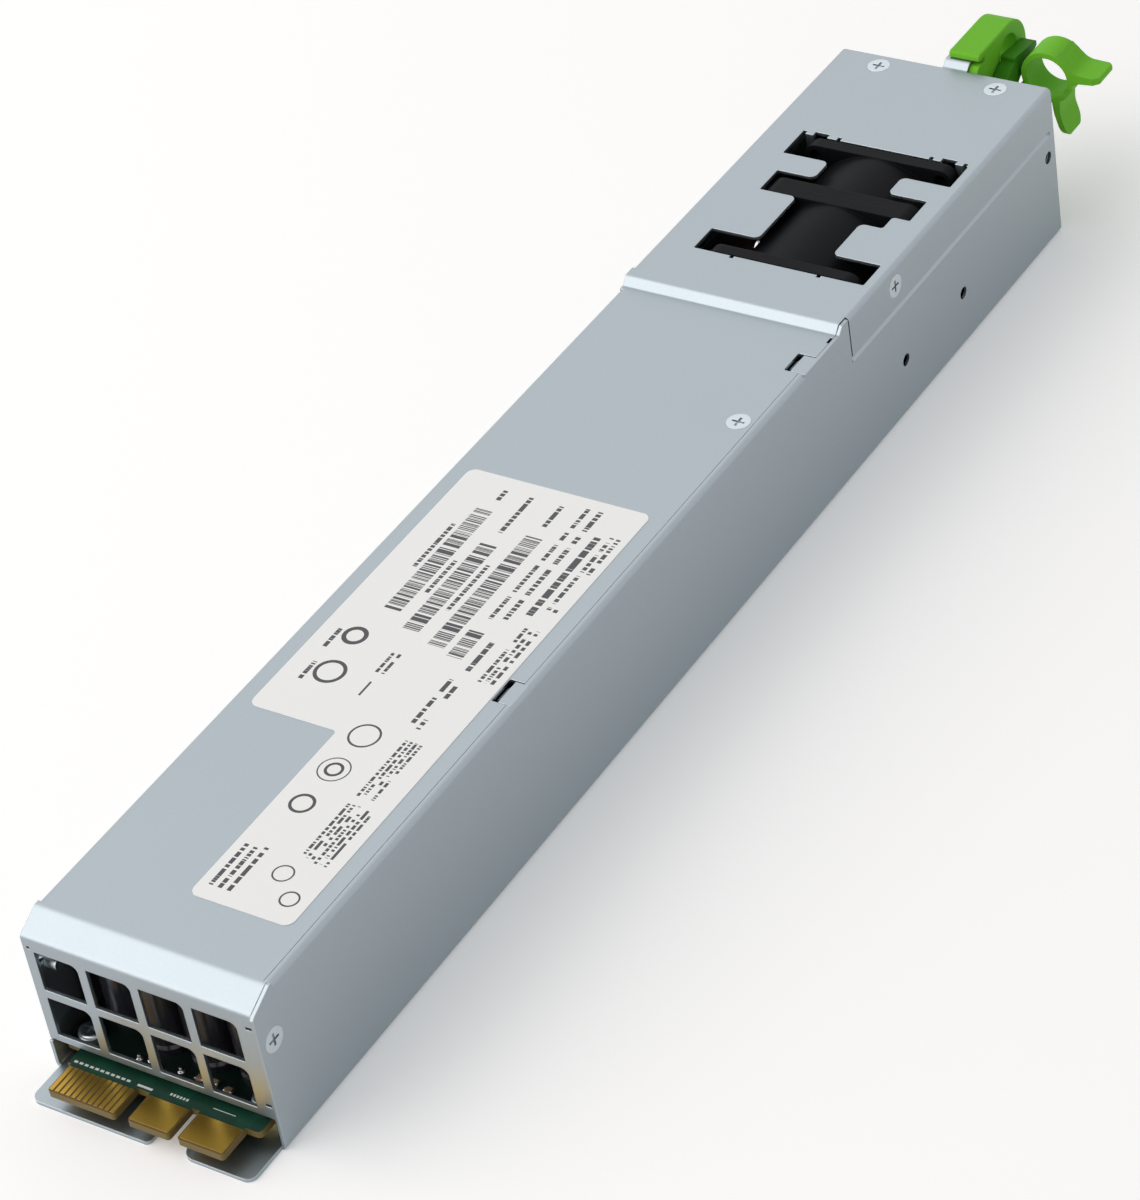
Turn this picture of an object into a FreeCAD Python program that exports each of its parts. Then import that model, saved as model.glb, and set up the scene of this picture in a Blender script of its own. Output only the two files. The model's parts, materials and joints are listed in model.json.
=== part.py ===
import FreeCAD, Part
import math
import os

from FreeCAD import Vector as V

# Hot swap server power supply, millimetres.
# X runs across the case, Y from the connector end to the service end, Z up.
# The origin is on the underside, halfway across, at the front edge of the side walls.

# ---- case, driving dimensions ----
WIDTH = 54.5            # over the side walls
LENGTH = 321.5          # side walls, front edge to service end
HIGH_TOP = 39.0         # top of the raised cover over the fan
LOW_TOP = 37.2          # top of the long low cover
SHEET = 0.8             # steel thickness
BEND = 1.2              # outer bend radius
FIT = 0.1               # gap between sheets that lie side by side
LIP = 1.6               # width of the tray lips beside the low cover
GRILLE_SETBACK = 0.5    # grille face behind the front edge of the side walls
CHAMFER_Y = 6.3         # where the sloping nose meets the low top
CHAMFER_Z = 34.2        # where it meets the grille face
STEP_Y = 221.0          # foot of the step up to the raised cover
STEP_RUN = 1.6          # length of the slope of that step
FLANGE_Y = 225.5        # front edge of the side flanges of the raised cover
FLANGE_Z = 28.7         # their lower edge
HOOK_Y = 206.0          # first corner of the rear hook slot, in the +X edge
HOOK_LENGTH = 6.4       # length of that slot
MID_HOOK_Y = 89.8       # first corner of the hook slot halfway
MID_HOOK_LENGTH = 7.0
HOOK_DEPTH = 4.4        # how far a hook slot reaches in from the wall
HOOK_DIP = 1.3          # length of the sloping end of a hook tab
JOGGLE_RISE = 1.2       # height of the slope where a wall steps in under a flange
FLANGE_SLIT = 0.5       # gap ahead of a side flange

# ---- grille ----
GRILLE_BOTTOM = 7.3
GRILLE_COLUMNS = 4
GRILLE_ROWS = 2
CELL_WIDTH = 10.3
CELL_HEIGHT = 9.9
GRILLE_BAR = 2.0        # web between two cells
GRILLE_CENTRE_X = -1.3
GRILLE_FIRST_ROW = 9.0  # lower edge of the lower row

# ---- flaps under the card edge ----
FLAP_LENGTH = 9.8
FLAP_EDGE = 1.05        # flaps stop this far inside the side walls
FLAP_GAP = (2.3, 9.8)

# ---- main board and card edge ----
BOARD_TOP = 5.6
BOARD_THICK = 1.6
TAB_FRONT = 9.9         # how far the contact tabs stand out of the case
TAB_ROOT = 2.9
TABS = ((-20.6, -4.7), (-1.6, 8.1), (10.1, 20.7))   # signal, power, power
BOARD_LEFT = -21.4
BOARD_RIGHT = 24.0
BOARD_REAR = 230.0
BOARD_STEP = 2.2        # where the board widens behind the grille
BOARD_EDGE = 1.2        # gap from the board to the side walls
CONTACT = 0.1           # gold thickness
SIGNAL_FINGERS = 12

# ---- fan, two stages in line ----
FAN = 38.0
FAN_X = 3.1
FAN_FRONT = 237.8
FAN_INTAKE = 28.0
FAN_EXHAUST = 20.0
FAN_FLANGE = 3.0
FAN_HOLE_PITCH = 32.0
FAN_PLAY = (0.6, 0.4)   # gaps to the tongues at its front and rear
DUCT_WALL = 1.1
TIP_GAP = 0.6
FAN_CORNER = 3.2
HUB_R = 9.2
HUB_WALL = 1.0
SHAFT_R = 1.5
RUNNING = 0.02          # radial clearance of a shaft in its bearing
BEARING_R = SHAFT_R + 1.5
BEARING_TUBE_R = BEARING_R + 0.6
BEARING_LENGTH = 2.4
TUBE_SHARE = 0.55       # bearing tube, part of the frame's length
LEAD_R = 1.2

# ---- service end ----
PANEL_GAP = 0.1
INLET_X = -9.6
INLET_Z = 12.9
INLET_FLANGE = (31.0, 24.0, 2.2)    # width, height, thickness
INLET_BODY = (27.0, 19.8, 22.0)     # width, height, depth
SOCKET = (24.4, 16.6, 16.5)         # width, height, depth of the well
SOCKET_CUT = 3.6        # cut-off corners of the well
PIN_SECTION = (2.0, 4.0)
PIN_PITCH = 14.0        # line pin to neutral pin
PIN_OFFSET = 2.0        # line and neutral this far below the middle, earth this far above
PIN_TAIL = 3.2          # solder end of a pin behind the housing
WIRE_R = 1.15
HEX_FLAT = 3.9          # exhaust holes, across flats
HEX_PITCH = 4.8
EXHAUST_FIELDS = ((13.8, 25.0, 3.6, 25.0), (-24.6, -2.8, 27.6, 36.4))
LED_X, LED_Z, LED_R = 22.2, 33.2, 1.5

# ---- pull loop, release lever, cable clip ----
LOOP_WIDTH = 8.0
LOOP_TOP = 42.2
LOOP_END = LENGTH + 25.3
LOOP_BOTTOM = 26.0
LOOP_SLOT = (12.4, 20.4, 30.2, 39.5)    # finger slot: from the panel outwards, and its height
LOOP_SCREWS = ((4.0, 28.2), (4.0, 34.2))
TONGUE = (-0.6, 5.7, 4.6)               # cover tongue that hooks the loop: sides, reach
TONGUE_RAMP = (0.3, 1.9, 1.4)           # where the tongue slopes up behind the panel, and how far
LEVER_X = (LOOP_WIDTH + 0.3, LOOP_WIDTH + 4.0)
LEVER_GAP = 0.45        # side clearance in the panel slot and the bracket
LEVER_PIVOT = (LENGTH - 7.5, 25.5)
LEVER_SLOT = (21.5, 30.7)               # its lower edge stops the press, its upper edge the return
LEVER_PIN_R = 1.0
LEVER_BORE_PLAY = 0.05
HOOK_NOSE = 17.5        # front of the hook, ahead of the pivot
HOOK_Z = 1.4            # its lower edge
CATCH_WINDOW = (20.0, 8.0)              # ahead of the pivot: its front edge and rear edge
SPRING_WIRE_R = 0.25
SPRING_TURNS = 3
SPRING_PITCH = 0.56
CLIP_X, CLIP_Z = 19.6, 32.8
CLIP_BORE = 5.2
CLIP_WALL = 1.4
CLIP_Y = (LENGTH + 12.5, LENGTH + 20.5)
CLIP_SCREWS = ((16.4, 27.6),)
ROOT_SCREW_R = 1.15     # screws of the loop and the clip
ROOT_SCREW_HEAD = (2.2, 1.6)
ROOT_SCREW_LENGTH = 6.5

HALF = WIDTH / 2
INNER = HALF - SHEET
FAN_R = FAN / 2
FAN_Z = SHEET + FAN_R
FAN_MID = FAN_FRONT + FAN_INTAKE
FAN_REAR = FAN_MID + FAN_EXHAUST
BOARD_BOTTOM = BOARD_TOP - BOARD_THICK
CLEAR_TOP = LOW_TOP - SHEET
FACE_BACK = GRILLE_SETBACK + SHEET
CLEAR_HIGH = HIGH_TOP - SHEET
PANEL_FACE = LENGTH - PANEL_GAP
PANEL_BACK = PANEL_FACE - SHEET
FLAP_X = HALF - FLAP_EDGE

# countersunk cover screws: place on the surface, outward direction
HEAD_R = 2.7
HEAD_DEPTH = 1.2
SCREW_R = 1.45
SCREW_LENGTH = 4.5
SEAT_GAP = 0.05
COVER_SCREWS = (
    (V(-15.2, LENGTH - 4.0, HIGH_TOP), V(0, 0, 1)),
    (V(15.4, LENGTH - 4.4, HIGH_TOP), V(0, 0, 1)),
    (V(22.1, 186.5, LOW_TOP), V(0, 0, 1)),
    (V(HALF, 245.7, 33.9), V(1, 0, 0)),
    (V(-HALF, 245.7, 33.9), V(-1, 0, 0)),
    (V(HALF, 4.2, 25.4), V(1, 0, 0)),
    (V(-HALF, 4.2, 25.4), V(-1, 0, 0)),
)
SIDE_HOLES = ((246.9, 13.3), (274.2, 13.3), (LENGTH - 3.5, 22.3))
SIDE_HOLE_R = 1.5

STANDOFFS = ((-21.3, 5.6), (20.6, 4.6), (-19.5, 100.0), (20.4, 104.0), (-19.5, 213.0), (7.6, 222.0))
STANDOFF_R = 2.6
STANDOFF_STEM = STANDOFF_R - 0.6    # round foot pressed into the tray floor

# ---- parts on the board: where they stand, and their sizes ----
RECTIFIER_Y = (32.0, 46.0, 60.0)
TRANSISTOR_Y = (122.0, 142.0, 162.0)
OUTPUT_CANS = ((-17.4, 14.2), (-6.4, 11.4), (4.6, 11.4), (-11.9, 24.4), (-0.9, 22.0))
SMALL_CAN = (15.2, 11.0)
SECONDARY_SINK = (13.6, 22.6, 24.0, 78.0, 33.5)     # x, x, y, y, top
PRIMARY_SINK = (-24.0, -16.4, 112.0, 178.0, 34.0)
BULK_CAN = (7.6, 14.6, 140.0, 190.0)                # x, radius, y, y
CONTROL_CARD = (40.0, 92.0, 32.0)                   # y, y, top
CHIPS = ((52.0, 20.0), (70.0, 20.0), (82.0, 14.0))
TURN_WIRE = 1.0         # flat wire of the wound rings
TURN_GAP = 0.05


# ---------------------------------------------------------------- helpers
def box(x0, x1, y0, y1, z0, z1):
    return Part.makeBox(x1 - x0, y1 - y0, z1 - z0, V(x0, y0, z0))


def rod(a, b, radius):
    """Cylinder from point a to point b."""
    run = b.sub(a)
    return Part.makeCylinder(radius, run.Length, a, run)


def ring(a, b, outer, inner):
    return rod(a, b, outer).cut(rod(a, b, inner))


def lift(plane, u, v, level):
    """A point of a flat outline, placed in space."""
    return {"xy": V(u, v, level), "xz": V(u, level, v), "yz": V(level, u, v)}[plane]


def corner(before, point, after, radius):
    """Tangent arc that rounds one corner: its start, middle and end."""
    to_before = before.sub(point).normalize()
    to_after = after.sub(point).normalize()
    half = to_before.getAngle(to_after) / 2
    bisector = to_before.add(to_after).normalize()
    reach = radius / math.tan(half)
    centre = point.add(bisector * (radius / math.sin(half)))
    return point.add(to_before * reach), centre.sub(bisector * radius), point.add(to_after * reach)


def rounded_wire(points, radii, closed=True):
    """Straight runs joined by tangent arcs; a radius of 0 keeps the corner sharp."""
    count = len(points)
    stations = []
    for i, point in enumerate(points):
        if radii[i] > 0 and (closed or 0 < i < count - 1):
            stations.append(corner(points[i - 1], point, points[(i + 1) % count], radii[i]))
        else:
            stations.append((point,))
    edges = []
    for i, station in enumerate(stations):
        if len(station) == 3:
            edges.append(Part.Arc(*station).toShape())
        if i == count - 1 and not closed:
            break
        start, end = station[-1], stations[(i + 1) % count][0]
        if start.distanceToPoint(end) > 1e-6:
            edges.append(Part.LineSegment(start, end).toShape())
    return Part.Wire(edges)


def prism(plane, outline, level0, level1, radii=0.0):
    """Outline of (u, v) points in a plane, extruded from one level to the other."""
    if not isinstance(radii, (list, tuple)):
        radii = [radii] * len(outline)
    wire = rounded_wire([lift(plane, u, v, level0) for u, v in outline], list(radii))
    return Part.Face(wire).extrude(lift(plane, 0, 0, level1 - level0))


def slab(plane, u0, u1, v0, v1, level0, level1, radius=0.0):
    """Rectangle with rounded corners, extruded."""
    return prism(plane, [(u0, v0), (u1, v0), (u1, v1), (u0, v1)], level0, level1, radius)


def fuse(shapes):
    shapes = list(shapes)
    return shapes[0].multiFuse(shapes[1:]).removeSplitter() if len(shapes) > 1 else shapes[0]


def mirrored(shape):
    """The same shape on the other side of the case."""
    return shape.mirror(V(0, 0, 0), V(1, 0, 0))


def placed(shape, position, direction):
    """Turn a shape built along +Z to a direction and move it to a position."""
    copy = shape.copy()
    copy.Placement = FreeCAD.Placement(position, FreeCAD.Rotation(V(0, 0, 1), direction))
    return copy


def save(name, shapes):
    """Write one node, as one solid or as a group of separate solids."""
    solids = []
    for shape in shapes if isinstance(shapes, (list, tuple)) else [shapes]:
        solids.extend(shape.Solids)
    result = solids[0] if len(solids) == 1 else Part.makeCompound(solids)
    if not result.isValid():
        print("invalid", name)
    result.exportStep(os.path.join("parts", name + ".step"))
    print(name, len(solids))


def hexagon(plane, u, v, across, level0, level1):
    radius = across / math.sqrt(3)
    points = [(u + radius * math.sin(math.radians(60 * i)), v + radius * math.cos(math.radians(60 * i)))
              for i in range(6)]
    return prism(plane, points, level0, level1)


# ---------------------------------------------------------------- screws
def countersunk_screw(length):
    """Head flush at z = 0, shank down -Z, cross recess in the head."""
    head = Part.makeCone(SCREW_R, HEAD_R, HEAD_DEPTH, V(0, 0, -HEAD_DEPTH))
    shank = Part.makeCylinder(SCREW_R, length, V(0, 0, -length))
    recess = fuse([box(-1.5, 1.5, -0.3, 0.3, -0.7, 1), box(-0.3, 0.3, -1.5, 1.5, -0.7, 1)])
    return fuse([head, shank]).cut(recess)


def screw_seat():
    """Room for one countersunk screw in the sheets that it joins."""
    cone = Part.makeCone(SCREW_R + SEAT_GAP, HEAD_R + SEAT_GAP, HEAD_DEPTH, V(0, 0, -HEAD_DEPTH))
    mouth = Part.makeCylinder(HEAD_R + SEAT_GAP, 1)
    return fuse([cone, mouth, Part.makeCylinder(SCREW_R + SEAT_GAP, 8, V(0, 0, -8))])


def pan_screw(head_r, head_h, shank_r, length):
    """Head above z = 0, shank below."""
    head = Part.makeCylinder(head_r, head_h)
    head = head.makeFillet(head_h * 0.45, [e for e in head.Edges if e.BoundBox.ZMin > head_h * 0.9])
    recess = fuse([box(-head_r * 0.6, head_r * 0.6, -0.25, 0.25, head_h * 0.45, 3),
                   box(-0.25, 0.25, -head_r * 0.6, head_r * 0.6, head_h * 0.45, 3)])
    return fuse([head, Part.makeCylinder(shank_r, length, V(0, 0, -length))]).cut(recess)


def cut_screw_seats(shape):
    return shape.cut(Part.makeCompound([placed(screw_seat(), p, d) for p, d in COVER_SCREWS]))


def make_cover_screws():
    save("cover_screws", [placed(countersunk_screw(SCREW_LENGTH), p, d) for p, d in COVER_SCREWS])


# ---------------------------------------------------------------- sheet metal
def bent_tube(y0, y1, height):
    """Closed rectangular tube with sheet-metal bends, for cutting channels from."""
    outer = slab("xz", -HALF, HALF, 0, height, y0, y1, BEND)
    inner = slab("xz", -INNER, INNER, SHEET, height - SHEET, y0, y1, BEND - SHEET)
    return outer.cut(inner)


def side_outline():
    """Side walls seen from the side, as one outline in Y and Z."""
    slit = FLANGE_Y - FLANGE_SLIT
    points = [(0, -1), (LENGTH, -1), (LENGTH, FLANGE_Z - FIT), (slit, FLANGE_Z - FIT),
              (slit, HIGH_TOP - 0.3), (STEP_Y + STEP_RUN, HIGH_TOP - 0.3),
              (STEP_Y, LOW_TOP), (CHAMFER_Y, LOW_TOP), (GRILLE_SETBACK, CHAMFER_Z), (0, CHAMFER_Z - 0.6)]
    return prism("yz", points, -HALF - 1, HALF + 1)


def hook_tab(y0, y1):
    """Tab bent in from the +X wall, its narrower end dipping into a slot of the cover."""
    reach = INNER - HOOK_DEPTH + 0.3
    bend = reach + HOOK_DIP
    flat = box(bend - 0.05, INNER + 0.2, y0 + FIT, y1 - 3 * FIT, CLEAR_TOP, LOW_TOP)
    dip = prism("xz", [(bend, LOW_TOP), (reach, LOW_TOP - 1.0), (reach, LOW_TOP - 1.8), (bend, CLEAR_TOP)],
                y0 + 1.3, y1 - 2.0)
    return fuse([flat, dip])


def joggled_wall(y0, y1, top):
    """Strip of the +X wall that slopes inward and goes up behind a flange of the cover."""
    outside = HALF - SHEET - FIT / 2
    inside = outside - SHEET
    low, high = FLANGE_Z - FIT - JOGGLE_RISE, FLANGE_Z - FIT
    section = [(HALF, low - 1), (HALF, low), (outside, high), (outside, top), (inside, top),
               (inside, high - 0.3), (INNER, low - 0.3), (INNER, low - 1)]
    return prism("xz", section, y0, y1)


def floor_flaps():
    gap0, gap1 = FLAP_GAP
    front = -FLAP_LENGTH
    left = prism("xy", [(-FLAP_X, 3), (-FLAP_X, front), (gap0, front), (gap0, 3)], 0, SHEET, [0, 2.2, 1.2, 0])
    right = prism("xy", [(gap1, 3), (gap1, front), (FLAP_X, front), (FLAP_X, 3)], 0, SHEET, [0, 2.6, 2.0, 0])
    return [left, right]


def make_tray():
    lip_edge = HALF - LIP
    lipped = bent_tube(CHAMFER_Y + 0.7, HOOK_Y, LOW_TOP)
    lipped = lipped.cut(box(-lip_edge, lip_edge, 0, LENGTH, CLEAR_TOP - 1, LOW_TOP + 1))
    plain = bent_tube(0, LENGTH, HIGH_TOP + 5)
    plain = plain.cut(box(-HALF, HALF, -1, LENGTH + 1, HIGH_TOP, HIGH_TOP + 9))
    plain = plain.cut(box(-HALF - 1, HALF + 1, CHAMFER_Y + 0.7, HOOK_Y, SHEET + BEND, HIGH_TOP + 9))
    plain = plain.common(side_outline())
    low = FLANGE_Z - FIT - JOGGLE_RISE
    tray = fuse([lipped, plain])
    tray = tray.cut(box(INNER - 1, HALF + 1, FLANGE_Y - FLANGE_SLIT, LENGTH - 2, low, HIGH_TOP + 9))
    tray = tray.cut(box(-HALF - 1, -lip_edge + 0.1, -1, LENGTH - 2, low, HIGH_TOP + 9))
    tray = tray.cut(box(-HALF - 1, -INNER + 1, -1, FACE_BACK + FIT, GRILLE_BOTTOM - 0.3, HIGH_TOP))
    behind_hood = joggled_wall(FLANGE_Y, LENGTH - 2, CLEAR_HIGH - 0.5)
    behind_flange = [joggled_wall(CHAMFER_Y + 2, FLANGE_Y + 0.1, CLEAR_TOP - 0.5),
                     joggled_wall(FACE_BACK + 2 * FIT, CHAMFER_Y + 2.1, CHAMFER_Z - 1.6)]
    screw_tab = box(16.5, INNER + 0.2, 180.5, 192.5, CLEAR_TOP - FIT - SHEET, CLEAR_TOP - FIT)
    tabs = [hook_tab(MID_HOOK_Y, MID_HOOK_Y + MID_HOOK_LENGTH), hook_tab(HOOK_Y, HOOK_Y + HOOK_LENGTH)]
    tray = fuse([tray, behind_hood, mirrored(behind_hood), screw_tab] + [mirrored(piece) for piece in behind_flange]
                + tabs + floor_flaps())
    gap = prism("xy", [(FLAP_GAP[0], -20), (FLAP_GAP[1], -20), (FLAP_GAP[1], 1.5), (FLAP_GAP[0], 1.5)],
                -1, SHEET + 1, [0, 0, 1.5, 1.5])
    holes = [rod(V(side * (INNER - 2), y, z), V(side * (HALF + 1), y, z), SIDE_HOLE_R)
             for side in (-1, 1) for y, z in SIDE_HOLES]
    window = slab("xy", LEVER_X[0] - 0.8, LEVER_X[1] + 0.8, LEVER_PIVOT[0] - CATCH_WINDOW[0],
                  LEVER_PIVOT[0] - CATCH_WINDOW[1], -1, SHEET + 1, 1.0)
    studs = [rod(V(x, y, -1), V(x, y, SHEET + 1), STANDOFF_STEM) for x, y in STANDOFFS]
    tray = tray.cut(Part.makeCompound([gap, window] + holes + studs))
    save("chassis_tray", cut_screw_seats(tray))


def cover_outline():
    """Outer line of the cover seen from the side, grille face to service end, and its bend radii."""
    points = [(GRILLE_SETBACK, GRILLE_BOTTOM), (GRILLE_SETBACK, CHAMFER_Z), (CHAMFER_Y, LOW_TOP), (STEP_Y, LOW_TOP),
              (STEP_Y + STEP_RUN, HIGH_TOP), (LENGTH, HIGH_TOP)]
    return points, [0, BEND, BEND * 2, 0.5, BEND, 0]


def cover_profile():
    """Side view of the cover sheet: grille face, nose, low top, step, raised top."""
    slope = math.atan2(LOW_TOP - CHAMFER_Z, CHAMFER_Y - GRILLE_SETBACK)
    dip = SHEET * math.tan((math.pi / 2 - slope) / 2)
    shift = SHEET * math.tan(slope / 2)
    step = math.atan2(HIGH_TOP - LOW_TOP, STEP_RUN)
    nudge = SHEET * math.tan(step / 2)
    outer, radii = cover_outline()
    inner = [(LENGTH, HIGH_TOP - SHEET), (STEP_Y + STEP_RUN + nudge, HIGH_TOP - SHEET),
             (STEP_Y + nudge, CLEAR_TOP), (CHAMFER_Y + shift, CLEAR_TOP),
             (FACE_BACK, CHAMFER_Z - dip), (FACE_BACK, GRILLE_BOTTOM)]
    return prism("yz", outer + inner, -HALF, HALF, radii + [0, 0.4, 1.2, BEND, 0.4, 0])


def long_flange():
    """Flange bent down over the -X wall, from the nose to the raised cover, which has its own."""
    outer, radii = cover_outline()
    filled = prism("yz", outer + [(LENGTH, GRILLE_BOTTOM)], -HALF, -INNER, radii + [0])
    return filled.common(box(-HALF, -INNER, 0, FLANGE_Y + 0.2, FLANGE_Z, HIGH_TOP))


def long_bend():
    """What the bend over that flange takes off the sharp edge of the low top."""
    y0, y1 = CHAMFER_Y + BEND, STEP_Y - BEND
    rounded = slab("xz", -HALF, HALF, 0, LOW_TOP, y0, y1, BEND)
    return box(-HALF - 1, -HALF + BEND, y0, y1, LOW_TOP - BEND, LOW_TOP + 1).cut(rounded)


def grille_cells():
    """Eight cells, the far top corner of each one more rounded."""
    pitch_x = CELL_WIDTH + GRILLE_BAR
    pitch_z = CELL_HEIGHT + GRILLE_BAR
    first = GRILLE_CENTRE_X - (GRILLE_COLUMNS * pitch_x - GRILLE_BAR) / 2
    cells = []
    for column in range(GRILLE_COLUMNS):
        for row in range(GRILLE_ROWS):
            x = first + column * pitch_x
            z = GRILLE_FIRST_ROW + row * pitch_z
            cells.append(prism("xz", [(x, z), (x + CELL_WIDTH, z), (x + CELL_WIDTH, z + CELL_HEIGHT),
                                      (x, z + CELL_HEIGHT)], -2, 3, [0.3, 0.3, 1.7, 0.3]))
    return cells


def fan_opening():
    """Opening in the raised cover that lets the fan flanges stand up into the sheet."""
    side = FAN_R + 2.4
    left, right = FAN_X - side, FAN_X + side
    neck0, neck1 = FAN_X - 9.5, FAN_X + 9.3
    mid0, mid1 = FAN_X - FAN_R, FAN_X + FAN_R + 0.2
    near0, near1 = FAN_FRONT - FAN_PLAY[0], FAN_FRONT + 7.5
    bar0, bar1 = FAN_MID - FAN_FLANGE - 0.2, FAN_MID + FAN_FLANGE + 2.0
    far0, far1 = FAN_REAR - 8.3, FAN_REAR + FAN_PLAY[1]
    notch0, notch1 = FAN_X + 14.9, bar0 - 4.6
    outline = [(left, near0, 0.4), (right, near0, 0.4), (right, near1, 0.4), (neck1, near1, 1.5),
               (neck1, notch1, 1.5), (notch0, notch1, 0.8), (notch0, bar0, 0.8), (mid1, bar0, 0.4),
               (mid1, bar1, 0.4), (neck1, bar1, 1.5), (neck1, far0, 1.5), (right, far0, 0.4),
               (right, far1, 0.4), (left, far1, 0.4), (left, far0, 0.4), (neck0, far0, 1.5),
               (neck0, bar1, 1.5), (mid0, bar1, 0.4), (mid0, bar0, 0.4), (neck0, bar0, 1.5),
               (neck0, near1, 1.5), (left, near1, 0.4)]
    return prism("xy", [(x, y) for x, y, r in outline], HIGH_TOP - 3, HIGH_TOP + 1, [r for x, y, r in outline])


def loop_tongue():
    """Tongue over the root of the loop: flat on the cover, sloping up, then flat again."""
    start, end, rise = TONGUE_RAMP
    tip = LENGTH + TONGUE[2]
    outline = [(LENGTH - 1, CLEAR_HIGH), (LENGTH + start, CLEAR_HIGH), (LENGTH + end, CLEAR_HIGH + rise),
               (tip, CLEAR_HIGH + rise), (tip, HIGH_TOP + rise), (LENGTH + end, HIGH_TOP + rise),
               (LENGTH + start, HIGH_TOP), (LENGTH - 1, HIGH_TOP)]
    return prism("yz", outline, TONGUE[0], TONGUE[1], [0, 1.4, 0.6, 0, 0, 1.4, 0.6, 0])


def fan_tongues():
    """Bent-down tongues that hold the fan lengthways, and their relief notches and slots."""
    top, low = HIGH_TOP - 0.1, HIGH_TOP - 6.0
    rear, front = FAN_REAR + FAN_PLAY[1], FAN_FRONT - FAN_PLAY[0]
    rear_tongues = ((FAN_X - 20.4, FAN_X - 12.3), (FAN_X + 12.4, FAN_X + 20.0))
    front_tongues = ((FAN_X - 21.4, FAN_X - 12.0), (FAN_X + 10.9, FAN_X + 21.1))
    sheets, cuts = [], []
    for x0, x1 in rear_tongues:
        sheets.append(box(x0, x1, rear, rear + SHEET, low, top))
        for x in (x0 - 1.0, x1):
            cuts.append(box(x, x + 1.0, rear - 0.2, rear + 1.1, low, HIGH_TOP + 1))
        cuts.append(box(x0 + 2.0, x0 + 5.7, rear - 0.2, rear + 1.4, HIGH_TOP - 3, HIGH_TOP + 1))
    for x0, x1 in front_tongues:
        sheets.append(box(x0, x1, front - SHEET, front, low, top))
        inner_side = x1 if x1 < FAN_X else x0 - 1.0
        cuts.append(box(inner_side, inner_side + 1.0, front - 0.8, front + 0.2, low, HIGH_TOP + 1))
    return sheets, cuts


def strip_side(y0, y1, edge):
    """Room beside the cover sheet on the +X side, past a given half width."""
    return box(edge, HALF + 1, y0, y1, -1, HIGH_TOP + 2)


def hook_slots():
    """Slots of the two hook tabs, and the small notch at the foot of the step."""
    edge = HALF - LIP - FIT
    slots = [slab("xy", INNER - HOOK_DEPTH, HALF, y0, y0 + length, CLEAR_TOP - 1, LOW_TOP + 1, 0.4)
             for y0, length in ((MID_HOOK_Y, MID_HOOK_LENGTH), (HOOK_Y, HOOK_LENGTH))]
    slots.append(box(edge, HALF, HOOK_Y, HOOK_Y + HOOK_LENGTH, CLEAR_TOP - 1, LOW_TOP + 1))
    slots.append(box(INNER - 0.7, HALF, STEP_Y - 3.2, STEP_Y - 1.2, CLEAR_TOP - 1, LOW_TOP + 1))
    return slots


def grille_flange(top):
    """Flange folded back from the grille face along the inside of a side wall."""
    outer = INNER - FIT
    return slab("yz", GRILLE_SETBACK + 0.05, 9.5, 11.0, top, outer - SHEET, outer, 0.6)


def make_cover():
    low_edge = HALF - LIP - FIT
    inner_edge = INNER - FIT
    sheet = cover_profile()
    trims = [strip_side(-1, CHAMFER_Y + 0.7, inner_edge),
             strip_side(CHAMFER_Y + 0.7, HOOK_Y + HOOK_LENGTH, low_edge),
             strip_side(HOOK_Y + HOOK_LENGTH, FLANGE_Y, inner_edge)]
    sheet = sheet.cut(Part.makeCompound(trims))
    sheet = sheet.cut(box(-HALF, HALF, FLANGE_Y, LENGTH + 1, FLANGE_Z, HIGH_TOP + 2))
    hood = bent_tube(FLANGE_Y, LENGTH, HIGH_TOP).common(box(-HALF, HALF, 0, LENGTH, FLANGE_Z, HIGH_TOP + 2))
    web = slab("yz", GRILLE_SETBACK, FACE_BACK, 11.0, 30.2, inner_edge - 0.5, inner_edge)
    tongues, cuts = fan_tongues()
    tongue = loop_tongue()
    short_flange = mirrored(grille_flange(FLANGE_Z - JOGGLE_RISE - 1))
    cover = fuse([sheet, long_flange(), hood, grille_flange(30.2), short_flange, web, tongue]).cut(long_bend())
    reliefs = [box(inner_edge - 1.9, HALF, 0, FACE_BACK + 0.2, z, z + 0.7) for z in (30.2, 10.3)]
    reliefs.append(box(-INNER + 0.1, -INNER + 0.8, 0, FACE_BACK + 0.2, 31.2, 31.9))
    cover = cover.cut(Part.makeCompound(grille_cells() + [fan_opening()] + hook_slots() + reliefs))
    cover = fuse([cover] + tongues).cut(Part.makeCompound(cuts))
    save("top_cover", cut_screw_seats(cover))


def exhaust_holes():
    """Hexagon holes, in two fields that miss the inlet, the loop, the lever and the clip."""
    holes = []
    row_pitch = HEX_PITCH * math.sqrt(3) / 2
    for x0, x1, z0, z1 in EXHAUST_FIELDS:
        row = 0
        z = z0 + HEX_FLAT / 2
        while z + HEX_FLAT / 2 <= z1:
            x = x0 + HEX_FLAT / 2 + (HEX_PITCH / 2 if row % 2 else 0)
            while x + HEX_FLAT / 2 <= x1:
                holes.append(hexagon("xz", x, z, HEX_FLAT, LENGTH - 2, LENGTH + 1))
                x += HEX_PITCH
            row += 1
            z += row_pitch
    return holes


def root_holes(places, radius):
    """Screw holes through the end panel for what is screwed on from inside."""
    return [rod(V(x, PANEL_BACK - 2, z), V(x, LENGTH + 6, z), radius) for x, z in places]


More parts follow.
